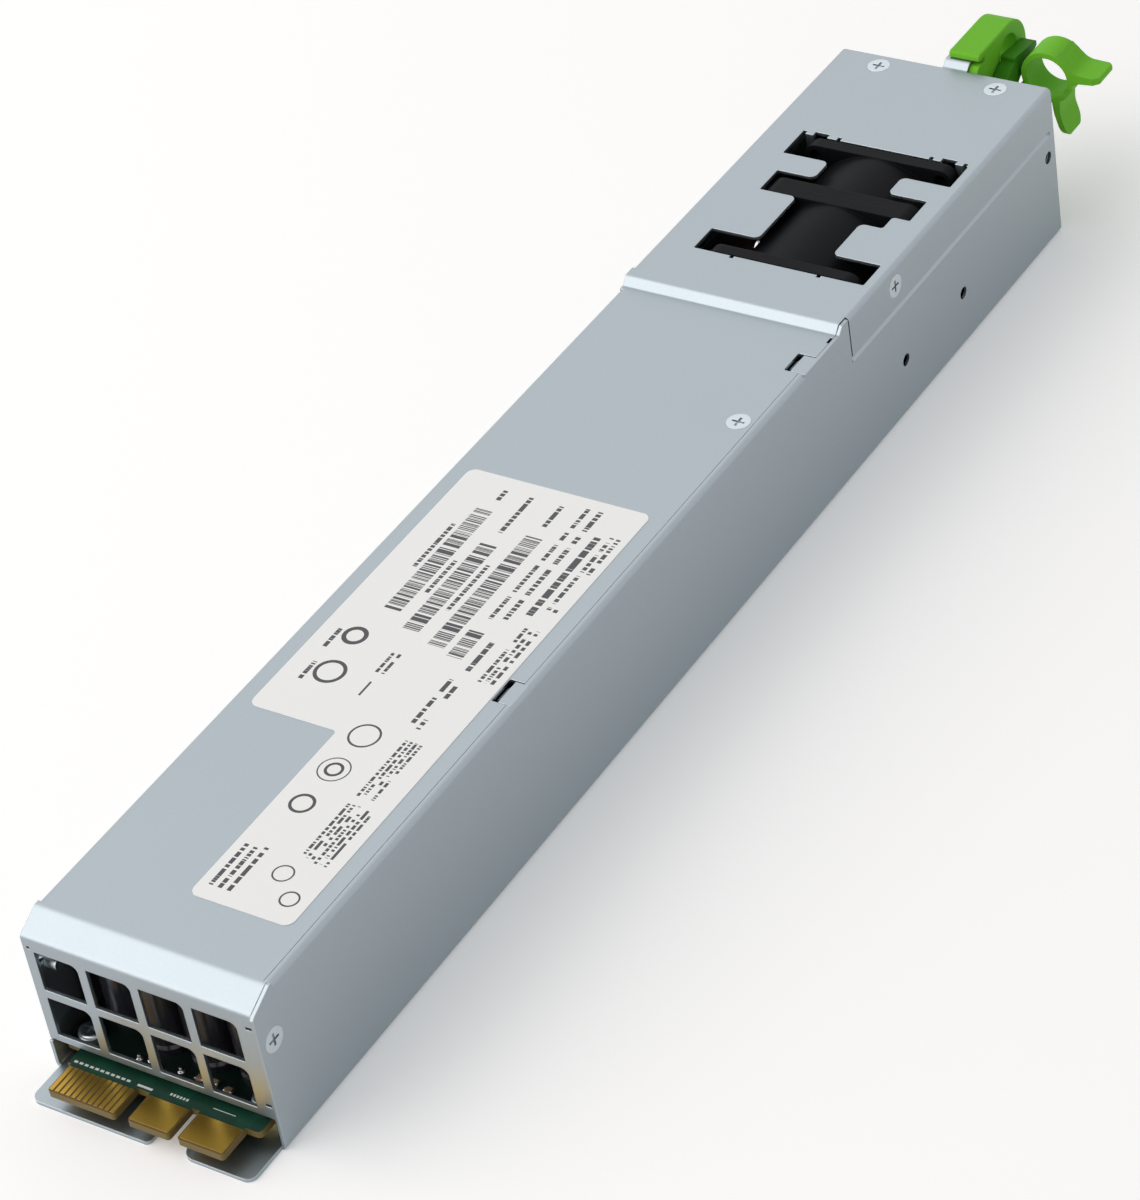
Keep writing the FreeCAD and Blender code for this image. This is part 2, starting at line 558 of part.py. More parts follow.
def make_end_panel():
    wide = INNER - FIT
    narrow = HALF - 2 * SHEET - 3 * FIT / 2
    shoulder = FLANGE_Z - SHEET - 2 * FIT
    top = CLEAR_HIGH - FIT
    outline = [(-wide, SHEET + FIT), (wide, SHEET + FIT), (wide, shoulder), (narrow, shoulder),
               (narrow, top), (-narrow, top), (-narrow, shoulder), (-wide, shoulder)]
    plate = prism("xz", outline, PANEL_BACK, PANEL_FACE, [0.6, 0.6, 0, 0, 0, 0, 0, 0])
    top_flange = box(-narrow + 1, narrow - 1, LENGTH - 12, PANEL_FACE, top - SHEET, top)
    side_flange = box(wide - SHEET, wide, LENGTH - 9, PANEL_FACE, 2.5, shoulder - 1)
    panel = fuse([plate, top_flange, side_flange, mirrored(side_flange)])
    half_w, half_h = INLET_BODY[0] / 2 + FIT, INLET_BODY[1] / 2 + FIT
    inlet = slab("xz", INLET_X - half_w, INLET_X + half_w, INLET_Z - half_h, INLET_Z + half_h,
                 PANEL_BACK - 1, LENGTH, 0.5)
    slot = box(LEVER_X[0] - LEVER_GAP, LEVER_X[1] + LEVER_GAP, PANEL_BACK - 1, LENGTH, *LEVER_SLOT)
    led = rod(V(LED_X, PANEL_BACK - 1, LED_Z), V(LED_X, LENGTH, LED_Z), LED_R + 0.05)
    rear_y, rear_z = SIDE_HOLES[-1]
    rivets = rod(V(-HALF, rear_y, rear_z), V(HALF, rear_y, rear_z), SIDE_HOLE_R)
    cuts = [inlet, slot, led, rivets] + root_holes(LOOP_SCREWS + CLIP_SCREWS, ROOT_SCREW_R + 0.15)
    panel = panel.cut(Part.makeCompound(cuts + exhaust_holes()))
    save("end_panel", cut_screw_seats(panel))


def make_label():
    """L-shaped rating label on the low top; a wide part and a narrow part."""
    z = LOW_TOP
    outline = [(-1.4, 20.5), (22.0, 20.5), (21.6, 152.0), (-22.8, 152.0), (-22.8, 70.3), (-1.4, 70.3)]
    save("rating_label", prism("xy", outline, z, z + 0.1, [2.0, 2.0, 2.0, 2.0, 2.0, 1.0]))


# ---------------------------------------------------------------- board
def board_outline():
    front, root = -TAB_FRONT, -TAB_ROOT + 0.6
    points = []
    for x0, x1 in TABS:
        points += [(x0, root, 0), (x0, front, 0.7), (x1, front, 0.7), (x1, root, 0)]
    side = INNER - BOARD_EDGE
    points += [(BOARD_RIGHT, root, 1.0), (BOARD_RIGHT, BOARD_STEP, 0.5), (side, BOARD_STEP, 0.5),
               (side, BOARD_REAR, 1), (-side, BOARD_REAR, 1), (-side, BOARD_STEP, 0.5),
               (BOARD_LEFT, BOARD_STEP, 0.5), (BOARD_LEFT, root, 0)]
    return points


def make_board():
    points = board_outline()
    board = prism("xy", [(x, y) for x, y, r in points], BOARD_BOTTOM, BOARD_TOP, [r for x, y, r in points])
    holes = [rod(V(x, y, 0), V(x, y, 10), 1.6) for x, y in STANDOFFS]
    save("main_board", board.cut(Part.makeCompound(holes)))


def make_contacts():
    x0, x1 = TABS[0]
    pitch = (x1 - x0) / SIGNAL_FINGERS
    width = pitch * 0.68
    faces = ((BOARD_TOP, BOARD_TOP + CONTACT), (BOARD_BOTTOM - CONTACT, BOARD_BOTTOM))
    front, root = -TAB_FRONT + 0.4, -TAB_ROOT
    signals = []
    for index in range(SIGNAL_FINGERS):
        x = x0 + pitch * (index + 0.5)
        signals += [box(x - width / 2, x + width / 2, front, root, z0, z1) for z0, z1 in faces]
    save("signal_contacts", signals)
    powers = []
    for x0, x1 in TABS[1:]:
        powers += [slab("xy", x0 + 0.3, x1 - 0.3, front, root, z0, z1, 0.3) for z0, z1 in faces]
    save("power_contacts", powers)


def make_standoffs():
    hex_bodies, screws = [], []
    for x, y in STANDOFFS:
        body = hexagon("xy", x, y, 2 * STANDOFF_R, SHEET, BOARD_BOTTOM)
        stem = rod(V(x, y, 0.1), V(x, y, SHEET), STANDOFF_STEM - 0.05)
        bore = rod(V(x, y, 0), V(x, y, 9), 1.3)
        hex_bodies.append(fuse([body, stem]).cut(bore))
        screws.append(placed(pan_screw(2.7, 1.9, 1.25, 4.6), V(x, y, BOARD_TOP), V(0, 0, 1)))
    save("board_standoffs", hex_bodies)
    save("board_screws", screws)


def make_insulator():
    """Thin plastic sheet on the tray floor under the board, folded up a little at the sides."""
    thick = 0.35
    edge = INNER - 0.6
    base = slab("xy", -edge, edge, 3.0, BOARD_REAR + 2, SHEET, SHEET + thick, 1.0)
    fold = box(edge - thick, edge, 14.0, BOARD_REAR, SHEET, 3.4)
    holes = [rod(V(x, y, 0), V(x, y, 9), STANDOFF_R + 0.7) for x, y in STANDOFFS]
    sheet = fuse([base, fold, mirrored(fold)]).cut(Part.makeCompound(holes))
    save("insulating_sheet", sheet)


# ---------------------------------------------------------------- power electronics
def can(x, y, radius, height):
    """Upright electrolytic capacitor with a rolled groove and a rounded top."""
    profile = [(0, 0), (radius, 0), (radius, 1.6), (radius - 0.45, 2.3), (radius, 3.0), (radius, height),
               (0, height)]
    wire = rounded_wire([V(r, 0, z) for r, z in profile], [0, 0, 0, 0, 0, 0.8, 0])
    body = Part.Face(wire).revolve(V(0, 0, 0), V(0, 0, 1), 360)
    scores = [box(-radius * 0.7, radius * 0.7, -0.15, 0.15, height - 0.25, height + 1)]
    scores.append(scores[0].copy().rotate(V(0, 0, 0), V(0, 0, 1), 90))
    body = body.cut(Part.makeCompound(scores))
    body.translate(V(x, y, BOARD_TOP))
    return body


def turned(shape, position, direction):
    """Like placed, but for a shape that already has a placement of its own."""
    copy = shape.copy()
    copy.Placement = FreeCAD.Placement(position, FreeCAD.Rotation(V(0, 0, 1), direction)).multiply(copy.Placement)
    return copy


def wound_ring(x, y, core_r, section_r, turns):
    """Ring core standing on the board across the case, with turns of flat wire round it."""
    bore = core_r - section_r
    core = ring(V(0, 0, -section_r), V(0, 0, section_r), core_r + section_r, bore)
    inner, outer = section_r + TURN_GAP, section_r + TURN_GAP + TURN_WIRE
    turn = slab("xz", core_r - outer, core_r + outer, -outer, outer, -TURN_WIRE / 2, TURN_WIRE / 2, 1.2)
    turn = turn.cut(slab("xz", core_r - inner, core_r + inner, -inner, inner, -1, 1))
    ribs = []
    for index in range(turns):
        rib = turn.copy()
        rib.rotate(V(0, 0, 0), V(0, 0, 1), 360.0 * (index + 0.5) / turns)
        ribs.append(rib)
    seat = V(x, y, BOARD_TOP + core_r + outer)
    upright = V(0, 1, 0)
    return turned(core, seat, upright), [turned(rib, seat, upright) for rib in ribs]


def finned_sink(x0, x1, y0, y1, z0, z1, fins, side):
    """Upright aluminium plate with fins along Y on one side."""
    plate_t = 2.4
    if side > 0:
        plate = box(x0, x0 + plate_t, y0, y1, z0, z1)
        fin_x = (x0 + plate_t - 0.1, x1)
    else:
        plate = box(x1 - plate_t, x1, y0, y1, z0, z1)
        fin_x = (x0, x1 - plate_t + 0.1)
    pitch = (z1 - z0 - 1.0) / (fins - 1)
    rows = [box(fin_x[0], fin_x[1], y0, y1, z0 + i * pitch, z0 + i * pitch + 1.0) for i in range(fins)]
    return fuse([plate] + rows)


def package(x0, x1, y, z0, height, width):
    """Transistor body with a mounting hole, its face in the YZ plane."""
    body = slab("yz", y - width / 2, y + width / 2, z0, z0 + height, x0, x1, 0.5)
    hole = rod(V(x0 - 1, y, z0 + height - 3.4), V(x1 + 1, y, z0 + height - 3.4), 1.7)
    return body.cut(hole)


def package_leads(x, y, z_top, width):
    return [box(x - 0.3, x + 0.3, y + step * width / 3.4 - 0.45, y + step * width / 3.4 + 0.45, BOARD_TOP, z_top)
            for step in (-1, 0, 1)]


def make_secondary_side():
    x0, x1, y0, y1, top = SECONDARY_SINK
    save("secondary_heat_sink", finned_sink(x0, x1, y0, y1, BOARD_TOP, top, 6, 1))
    bodies, leads = [], []
    for y in RECTIFIER_Y:
        bodies.append(package(x0 - 4.7, x0, y, 12.0, 15.4, 10.2))
        leads += package_leads(x0 - 2.4, y, 12.0, 10.2)
    save("rectifiers", bodies + leads)
    save("output_capacitors", [can(x, y, 5.0, 25.0) for x, y in OUTPUT_CANS] + [can(*SMALL_CAN, 4.0, 20.0)])
    core, ribs = wound_ring(-4.6, 50.0, 8.6, 3.4, 14)
    save("output_inductor_core", core)
    save("output_inductor_winding", ribs)


def make_transformer(prefix, x, y, width, length, height):
    """Ferrite core of two E halves round a wound bobbin, standing on the board."""
    z0 = BOARD_TOP
    leg = width * 0.17
    core = box(x - width / 2, x + width / 2, y - length / 2, y + length / 2, z0 + 2.0, z0 + height)
    room = box(x - width / 2 + leg, x + width / 2 - leg, y - length, y + length, z0 + 2.0 + leg, z0 + height - leg)
    core = core.cut(room)
    gap = 0.1
    coil = slab("xz", x - width / 2 + leg + gap, x + width / 2 - leg - gap, z0 + 2.0 + leg + gap,
                z0 + height - leg - gap, y - length / 2 - 4.0, y + length / 2 + 4.0, 1.6)
    rails = [slab("xy", x - width * 0.42, x + width * 0.42, y + side * (length / 2 + 3.5) - 1.9,
                  y + side * (length / 2 + 3.5) + 1.9, z0, z0 + 2.0 + leg + gap, 0.4) for side in (-1, 1)]
    bobbin = fuse([coil] + rails)
    save(prefix + "_core", core)
    save(prefix + "_winding", bobbin)


def make_primary_side():
    make_transformer("transformer", 0.6, 96.0, 31.0, 22.0, 28.5)
    make_transformer("standby_transformer", 2.0, 130.6, 16.0, 8.0, 17.0)
    x0, x1, y0, y1, top = PRIMARY_SINK
    save("primary_heat_sink", finned_sink(x0, x1, y0, y1, BOARD_TOP, top, 6, -1))
    bodies, leads = [], []
    for y in TRANSISTOR_Y:
        bodies.append(package(x1, x1 + 5.0, y, 11.0, 20.6, 15.6))
        leads += package_leads(x1 + 2.5, y, 11.0, 15.6)
    save("power_transistors", bodies + leads)
    core, ribs = wound_ring(1.6, 116.8, 7.0, 3.0, 12)
    save("pfc_inductor_core", core)
    save("pfc_inductor_winding", ribs)


def make_bulk_capacitor():
    """Lying on its side along the case, with crimped end and terminal disc."""
    centre_x, radius, y0, y1 = BULK_CAN
    centre_z = BOARD_TOP + radius
    profile = [(0, 0), (radius, 0), (radius, 3.0), (radius - 0.8, 4.2), (radius, 5.4), (radius, y1 - y0),
               (0, y1 - y0)]
    wire = rounded_wire([V(r, 0, z) for r, z in profile], [0, 0.8, 0.4, 0.4, 0.4, 1.2, 0])
    body = Part.Face(wire).revolve(V(0, 0, 0), V(0, 0, 1), 360)
    save("bulk_capacitor", placed(body, V(centre_x, y0, centre_z), V(0, 1, 0)))


def make_input_filter():
    films = [slab("yz", 196.0, 214.0, BOARD_TOP, BOARD_TOP + 20.0, 14.6, 23.6, 0.8),
             slab("yz", 216.6, 228.6, BOARD_TOP, BOARD_TOP + 14.0, 15.6, 21.6, 0.8),
             slab("yz", 113.0, 131.0, BOARD_TOP, BOARD_TOP + 16.0, 15.4, 23.4, 0.8)]
    save("film_capacitors", films)
    core, ribs = wound_ring(0.2, 206.0, 9.0, 3.2, 12)
    save("choke_core", core)
    save("choke_winding", ribs)
    bridge = package(-20.4, -15.6, 194.0, BOARD_TOP + 3.4, 20.0, 22.0)
    leads = [box(-18.4, -17.6, 194.0 + s * 5.0 - 0.5, 194.0 + s * 5.0 + 0.5, BOARD_TOP, BOARD_TOP + 3.4)
             for s in (-1.5, -0.5, 0.5, 1.5)]
    save("bridge_rectifier", [bridge] + leads)
    fuse_body = rod(V(-4.0, 216.0, BOARD_TOP + 4.0), V(-4.0, 229.0, BOARD_TOP + 4.0), 2.4)
    caps = [rod(V(-4.0, y, BOARD_TOP + 4.0), V(-4.0, y + 3.5, BOARD_TOP + 4.0), 2.9) for y in (212.6, 225.6)]
    legs = [rod(V(-4.0, y, BOARD_TOP), V(-4.0, y, BOARD_TOP + 1.4), 0.6) for y in (214.4, 227.4)]
    save("input_fuse", fuse([fuse_body] + caps + legs))


def make_control_board():
    """Upright daughter card with its chips and its pin header."""
    x = -INNER + 1.85
    y0, y1, top = CONTROL_CARD
    card = slab("yz", y0, y1, BOARD_TOP + 2.6, top, x, x + 1.2, 0.6)
    chips = [slab("yz", y - 3.5, y + 3.5, z, z + 7.0, x + 1.2, x + 2.9, 0.3) for y, z in CHIPS]
    pins = [box(x + 0.3, x + 0.9, y - 0.3, y + 0.3, BOARD_TOP, BOARD_TOP + 2.6)
            for y in [y0 + 4 + 4 * i for i in range(12)]]
    save("control_board", card)
    save("control_chips", chips)
    save("control_pins", pins)


# ---------------------------------------------------------------- fan
def frame_shape(length, base_t, struts):
    """One fan frame along +Z: the open mouth at z = length, the motor base at z = 0."""
    outline = slab("xy", -FAN_R, FAN_R, -FAN_R, FAN_R, 0, FAN_FLANGE, FAN_CORNER)
    mouth = outline.copy()
    mouth.translate(V(0, 0, length - FAN_FLANGE))
    duct_r = FAN_R - 0.2
    duct = Part.makeCylinder(duct_r, length)
    bore = Part.makeCylinder(duct_r - DUCT_WALL, length)
    funnel = Part.makeCone(duct_r - DUCT_WALL, duct_r - 0.15, 2.0, V(0, 0, length - 2.0))
    body = fuse([outline, mouth, duct]).cut(Part.makeCompound([bore, funnel]))
    half = FAN_HOLE_PITCH / 2
    holes = [Part.makeCylinder(1.75, length, V(x, y, 0)) for x in (-half, half) for y in (-half, half)]
    body = body.cut(Part.makeCompound(holes))
    parts = [body, Part.makeCylinder(HUB_R, base_t), Part.makeCylinder(BEARING_TUBE_R, length * TUBE_SHARE)]
    for index in range(struts):
        angle = 360.0 * index / struts + 20
        bar = box(HUB_R - 1, duct_r - 0.5, -0.8, 0.8, 0, base_t)
        bar.rotate(V(0, 0, 0), V(0, 0, 1), angle)
        parts.append(bar)
    return fuse(parts).cut(Part.makeCylinder(BEARING_R, length, V(0, 0, -0.01)))


def blade_section(radius, z0, z1, reach, bulge, thickness):
    """Cambered blade section in the plane x = radius."""
    middle = (z0 + z1) / 2
    lean = [V(radius, -reach / 2, z0), V(radius, bulge, middle), V(radius, reach / 2, z1)]
    across = V(0, thickness, 0)
    back = [point.add(across) for point in lean]
    edges = [Part.Arc(*lean).toShape(), Part.LineSegment(lean[2], back[2]).toShape(),
             Part.Arc(*back[::-1]).toShape(), Part.LineSegment(back[0], lean[0]).toShape()]
    return Part.Wire(edges)


def rotor_shape(length, base_t, blades, hand):
    """Hub cup with twisted blades; hand sets the way that the blades lean."""
    z0, z1 = base_t + 0.6, length - 2.2
    hub = Part.makeCylinder(HUB_R, z1 - z0, V(0, 0, z0))
    hub = hub.makeFillet(1.0, [e for e in hub.Edges if e.BoundBox.ZMin > z1 - 0.1])
    tip_r = FAN_R - 0.2 - DUCT_WALL - TIP_GAP
    root = blade_section(HUB_R - 2.4, z0 + 0.6, z1 - 1.6, 8.6 * hand, -0.9 * hand, 1.5)
    tip = blade_section(tip_r + 0.8, z0 + 0.4, z1 - 1.0, 12.5 * hand, -1.6 * hand, 0.9)
    blade = Part.makeLoft([root, tip], True, True)
    shapes = [hub]
    for index in range(blades):
        copy = blade.copy()
        copy.rotate(V(0, 0, 0), V(0, 0, 1), 360.0 * index / blades)
        shapes.append(copy)
    hollow = Part.makeCylinder(HUB_R - HUB_WALL, z1 - z0 - 1.4, V(0, 0, z0))
    socket = Part.makeCylinder(SHAFT_R, length)
    limit = Part.makeCylinder(tip_r, length)
    return fuse(shapes).common(limit).cut(Part.makeCompound([hollow, socket])), z0, z1


def make_stage(name, length, direction, blades, hand):
    base_t = FAN_FLANGE - 0.7
    centre = V(FAN_X, FAN_MID, FAN_Z)
    save(name + "_fan_frame", turned(frame_shape(length, base_t, 4), centre, direction))
    rotor, z0, z1 = rotor_shape(length, base_t, blades, hand)
    save(name + "_rotor", turned(rotor, centre, direction))
    shaft = Part.makeCylinder(SHAFT_R, z1 - 0.1 - base_t * 0.3, V(0, 0, base_t * 0.3))
    save(name + "_shaft", turned(shaft, centre, direction))
    tube_top = length * TUBE_SHARE
    bearings = [ring(V(0, 0, low), V(0, 0, low + BEARING_LENGTH), BEARING_R, SHAFT_R + RUNNING)
                for low in (base_t * 0.5, tube_top - BEARING_LENGTH - 0.2)]
    save(name + "_bearings", [turned(b, centre, direction) for b in bearings])
    low, high = base_t + 1.0, tube_top - 1.0
    inner = BEARING_TUBE_R + 0.02
    stator = ring(V(0, 0, low), V(0, 0, high), inner + 1.0, inner)
    arms = []
    for index in range(4):
        arm = fuse([box(inner + 0.3, 6.6, -1.2, 1.2, low, high), box(6.2, 7.2, -2.9, 2.9, low, high)])
        arm.rotate(V(0, 0, 0), V(0, 0, 1), 90.0 * index)
        arms.append(arm)
    save(name + "_stator", turned(fuse([stator] + arms), centre, direction))


def tube(points, radius, bend):
    """Round lead along straight runs joined by tangent arcs."""
    path = rounded_wire(points, [bend] * len(points), closed=False)
    start = points[0]
    circle = Part.Wire(Part.makeCircle(radius, start, points[1].sub(start)))
    return path.makePipeShell([circle], True, False)


def make_fan_lead():
    wall = HALF - 2 * SHEET - FIT / 2
    side = wall - LEAD_R - 0.3
    route = [V(side, FAN_MID - 6.0, 31.0), V(side, FAN_FRONT - 4.0, 31.0), V(side - 0.6, FAN_FRONT - 6.5, 16.0),
             V(side - 1.0, FAN_FRONT - 9.5, 12.6)]
    save("fan_lead", tube(route, LEAD_R, 2.6))
    grommet = box(FAN_X + FAN_R - 0.05, wall - 0.2, FAN_MID - 6.4, FAN_MID - 3.7, 29.2, 32.8)
    bore = rod(route[0], V(side, FAN_MID - 6.5, 31.0), LEAD_R + 0.05)
    save("fan_lead_clip", grommet.cut(bore))


# ---------------------------------------------------------------- service end
def socket_outline(width, height):
    """Mains socket outline: two lower corners cut off, the earth pin above the middle."""
    cut = SOCKET_CUT
    half = width / 2
    return [(INLET_X - half, INLET_Z - height / 2), (INLET_X + half, INLET_Z - height / 2),
            (INLET_X + half, INLET_Z + height / 2 - cut), (INLET_X + half - cut, INLET_Z + height / 2),
            (INLET_X - half + cut, INLET_Z + height / 2), (INLET_X - half, INLET_Z + height / 2 - cut)]


def make_inlet():
    flange_w, flange_h, flange_t = INLET_FLANGE
    body_w, body_h, depth = INLET_BODY
    socket_w, socket_h, socket_d = SOCKET
    outer = LENGTH + flange_t
    flange = slab("xz", INLET_X - flange_w / 2, INLET_X + flange_w / 2, INLET_Z - flange_h / 2,
                  INLET_Z + flange_h / 2, LENGTH, outer, 2.0)
    body = slab("xz", INLET_X - body_w / 2, INLET_X + body_w / 2, INLET_Z - body_h / 2,
                INLET_Z + body_h / 2, LENGTH - depth, LENGTH + 0.5, 1.0)
    cavity = prism("xz", socket_outline(socket_w, socket_h), outer - socket_d, outer + 1, 1.0)
    housing = fuse([flange, body]).cut(cavity)
    pins = []
    thick, tall = PIN_SECTION
    for x, z, tip in ((-PIN_PITCH / 2, -PIN_OFFSET, 2.6), (PIN_PITCH / 2, -PIN_OFFSET, 2.6), (0, PIN_OFFSET, 1.0)):
        z += INLET_Z - tall / 2
        x += INLET_X - thick / 2
        pins.append(slab("yz", LENGTH - depth - PIN_TAIL, outer - tip, z, z + tall, x, x + thick, 0.7))
    save("inlet_housing", housing.cut(Part.makeCompound(pins)))
    save("inlet_pins", pins)


def make_inlet_wires():
    """Line and neutral run past the free side of the fan to the board, earth to a stud on the wall."""
    tail = LENGTH - INLET_BODY[2] - PIN_TAIL
    bend = 2.6
    lane = FAN_X - FAN_R - 3.2
    live = ((-PIN_PITCH / 2, lane - 3.2, tail - 4.6, -21.0), (PIN_PITCH / 2, lane, tail - 7.8, -13.0))
    wires = []
    for x, lane_x, turn_y, end_x in live:
        start = V(INLET_X + x, tail, INLET_Z - PIN_OFFSET)
        low = V(end_x, FAN_FRONT - 12.0, BOARD_TOP)
        wires.append([start, V(start.x, turn_y, start.z), V(lane_x, turn_y, start.z),
                      V(lane_x, FAN_FRONT - 4.0, start.z), V(end_x, low.y, start.z + 0.4), low])
    earth_z = INLET_Z + PIN_OFFSET
    wires.append([V(INLET_X, tail, earth_z), V(INLET_X, tail - 6.2, earth_z),
                  V(-INNER + 3.9, tail - 6.2, earth_z)])
    save("inlet_wires", [tube(route, WIRE_R, bend) for route in wires])
    wall = V(-INNER, tail - 6.2, earth_z)
    nut = hexagon("yz", wall.y, wall.z, 5.5, -INNER, -INNER + 2.2)
    lug = ring(wall.add(V(2.2, 0, 0)), wall.add(V(3.0, 0, 0)), 2.6, 1.5)
    stud = rod(wall, wall.add(V(3.8, 0, 0)), 1.5)
    save("earth_stud", fuse([nut, stud]))
    save("earth_lug", lug)


def make_latch_bracket():
    """Channel that carries the lever pin; its flange is clamped by the loop screws."""
    back = PANEL_BACK
    pivot_y, pivot_z = LEVER_PIVOT
    left, right = LEVER_X[0] - LEVER_GAP - SHEET, LEVER_X[1] + LEVER_GAP
    ears = [prism("yz", [(back, pivot_z - 6.5), (back, pivot_z + 7.5), (pivot_y - 4.0, pivot_z + 4.0),
                         (pivot_y - 4.0, pivot_z - 4.0)], x0, x0 + SHEET, [0, 0, 3.0, 3.0])
            for x0 in (left, right)]
    flange = slab("xz", 1.2, left + SHEET, LOOP_SCREWS[0][1] - 3.0, CLEAR_HIGH - FIT - SHEET - 0.3,
                  back - SHEET, back, 0.3)
    base = box(left, right + SHEET, back - SHEET, back, pivot_z - 6.5, pivot_z - 4.9)
    bore = rod(V(0, pivot_y, pivot_z), V(HALF, pivot_y, pivot_z), LEVER_PIN_R)
    holes = root_holes(LOOP_SCREWS, ROOT_SCREW_R + 0.05)
    save("lever_bracket", fuse(ears + [flange, base]).cut(Part.makeCompound(holes + [bore])))
    pin = rod(V(left - 0.5, pivot_y, pivot_z), V(right + SHEET + 2.6, pivot_y, pivot_z), LEVER_PIN_R)
    save("lever_pin", pin)


def make_lever():
    """Release lever: thumb pad outside, hub on the pin, hook over the catch window inside."""
    x0, x1 = LEVER_X
    py, pz = LEVER_PIVOT
    nose, foot = py - HOOK_NOSE, HOOK_Z
    outline = [(nose, foot), (nose + 4.5, foot), (nose + 4.5, foot + 3.6), (nose + 3.1, foot + 3.6), (py - 10.6, pz - 7.0),
               (py + 2.0, pz - 3.4), (LENGTH + 3.0, pz - 2.5), (LENGTH + 14.0, 31.0), (LENGTH + 22.7, 34.3),
               (LENGTH + 22.7, 35.6), (LENGTH + 11.8, 37.1), (LENGTH + 11.8, 35.6), (LENGTH + 10.2, 35.2),
               (LENGTH + 2.0, 30.4), (py, pz + 4.0), (py - 6.0, pz + 1.0), (py - 14.5, pz - 8.0), (nose, foot + 4.6)]
    radii = [0.4, 0.4, 0.3, 0.5, 3.0, 2.0, 3.0, 3.0, 0.3, 0.3, 0.4, 0.3, 1.0, 3.0, 3.0, 3.0, 3.0, 1.5]
    arm = prism("yz", outline, x0, x1, radii)
    bore = rod(V(0, py, pz), V(HALF, py, pz), LEVER_PIN_R + LEVER_BORE_PLAY)
    pocket = slab("yz", LENGTH + 2.2, LENGTH + 9.0, pz + 1.0, pz + 4.0, x0 + 1.1, x1 + 1, 0.8)
    save("release_lever", arm.cut(Part.makeCompound([bore, pocket])))


def make_lever_spring():
    """Torsion spring round the free end of the pin, one coil group."""
    coil_r = LEVER_PIN_R + SPRING_WIRE_R + 0.1
    pivot_y, pivot_z = LEVER_PIVOT
    first = LEVER_X[1] + LEVER_GAP + SHEET + SPRING_WIRE_R + 0.05
    path = Part.makeHelix(SPRING_PITCH, SPRING_PITCH * SPRING_TURNS, coil_r)
    section = Part.Wire(Part.makeCircle(SPRING_WIRE_R, V(coil_r, 0, 0), V(0, 1, 0.1)))
    coil = Part.Wire(path).makePipeShell([section], True, True)
    save("lever_spring", placed(coil, V(first, pivot_y, pivot_z), V(1, 0, 0)))


def root_screws(places, seat_y):
    """Pan screws driven outwards through the panel, their heads inside."""
    screw = pan_screw(*ROOT_SCREW_HEAD, ROOT_SCREW_R, ROOT_SCREW_LENGTH)
    return [placed(screw, V(x, seat_y, z), V(0, -1, 0)) for x, z in places]


def make_pull_loop():
    """Loop moulded round a finger slot, its root hooked under the tongue of the cover."""
    x0, x1 = 0.0, LOOP_WIDTH
    root = LENGTH + 0.1
    start, end, rise = TONGUE_RAMP
    seat0, seat1 = CLEAR_HIGH - FIT, HIGH_TOP + FIT + rise
    arc_r = 7.5
    outline = [(root, LOOP_BOTTOM), (LOOP_END - 3.0, LOOP_BOTTOM), (LOOP_END, LOOP_BOTTOM + 6.0),
               (LOOP_END, LOOP_TOP), (root + 2.4, LOOP_TOP), (root + 2.4, seat1), (root + 4.8, seat1),
               (root + 4.8, seat0 + rise), (root + end + FIT, seat0 + rise), (root + start + FIT, seat0),
               (root, seat0)]
    radii = [0.5, 3.0, 3.0, arc_r, 0.8, 0.3, 0, 0, 0, 0, 0]
    body = prism("yz", outline, x0, x1, radii)
    slot0, slot1, low, high = LOOP_SLOT
    slot = slab("yz", LENGTH + slot0, LENGTH + slot1, low, high, x0 - 1, x1 + 1, (slot1 - slot0) / 2 - 0.1)
    body = body.cut(slot)
    edges = [e for e in body.Edges if abs(e.BoundBox.XMin - e.BoundBox.XMax) < 1e-6
             and (e.BoundBox.ZMax > LOOP_TOP - 1 or e.BoundBox.YMin > LENGTH + slot0 - 0.2)]
    body = body.makeFillet(0.45, edges)
    save("pull_loop", body.cut(Part.makeCompound(root_holes(LOOP_SCREWS, ROOT_SCREW_R + 0.05))))
    save("loop_screws", root_screws(LOOP_SCREWS, PANEL_BACK - SHEET))


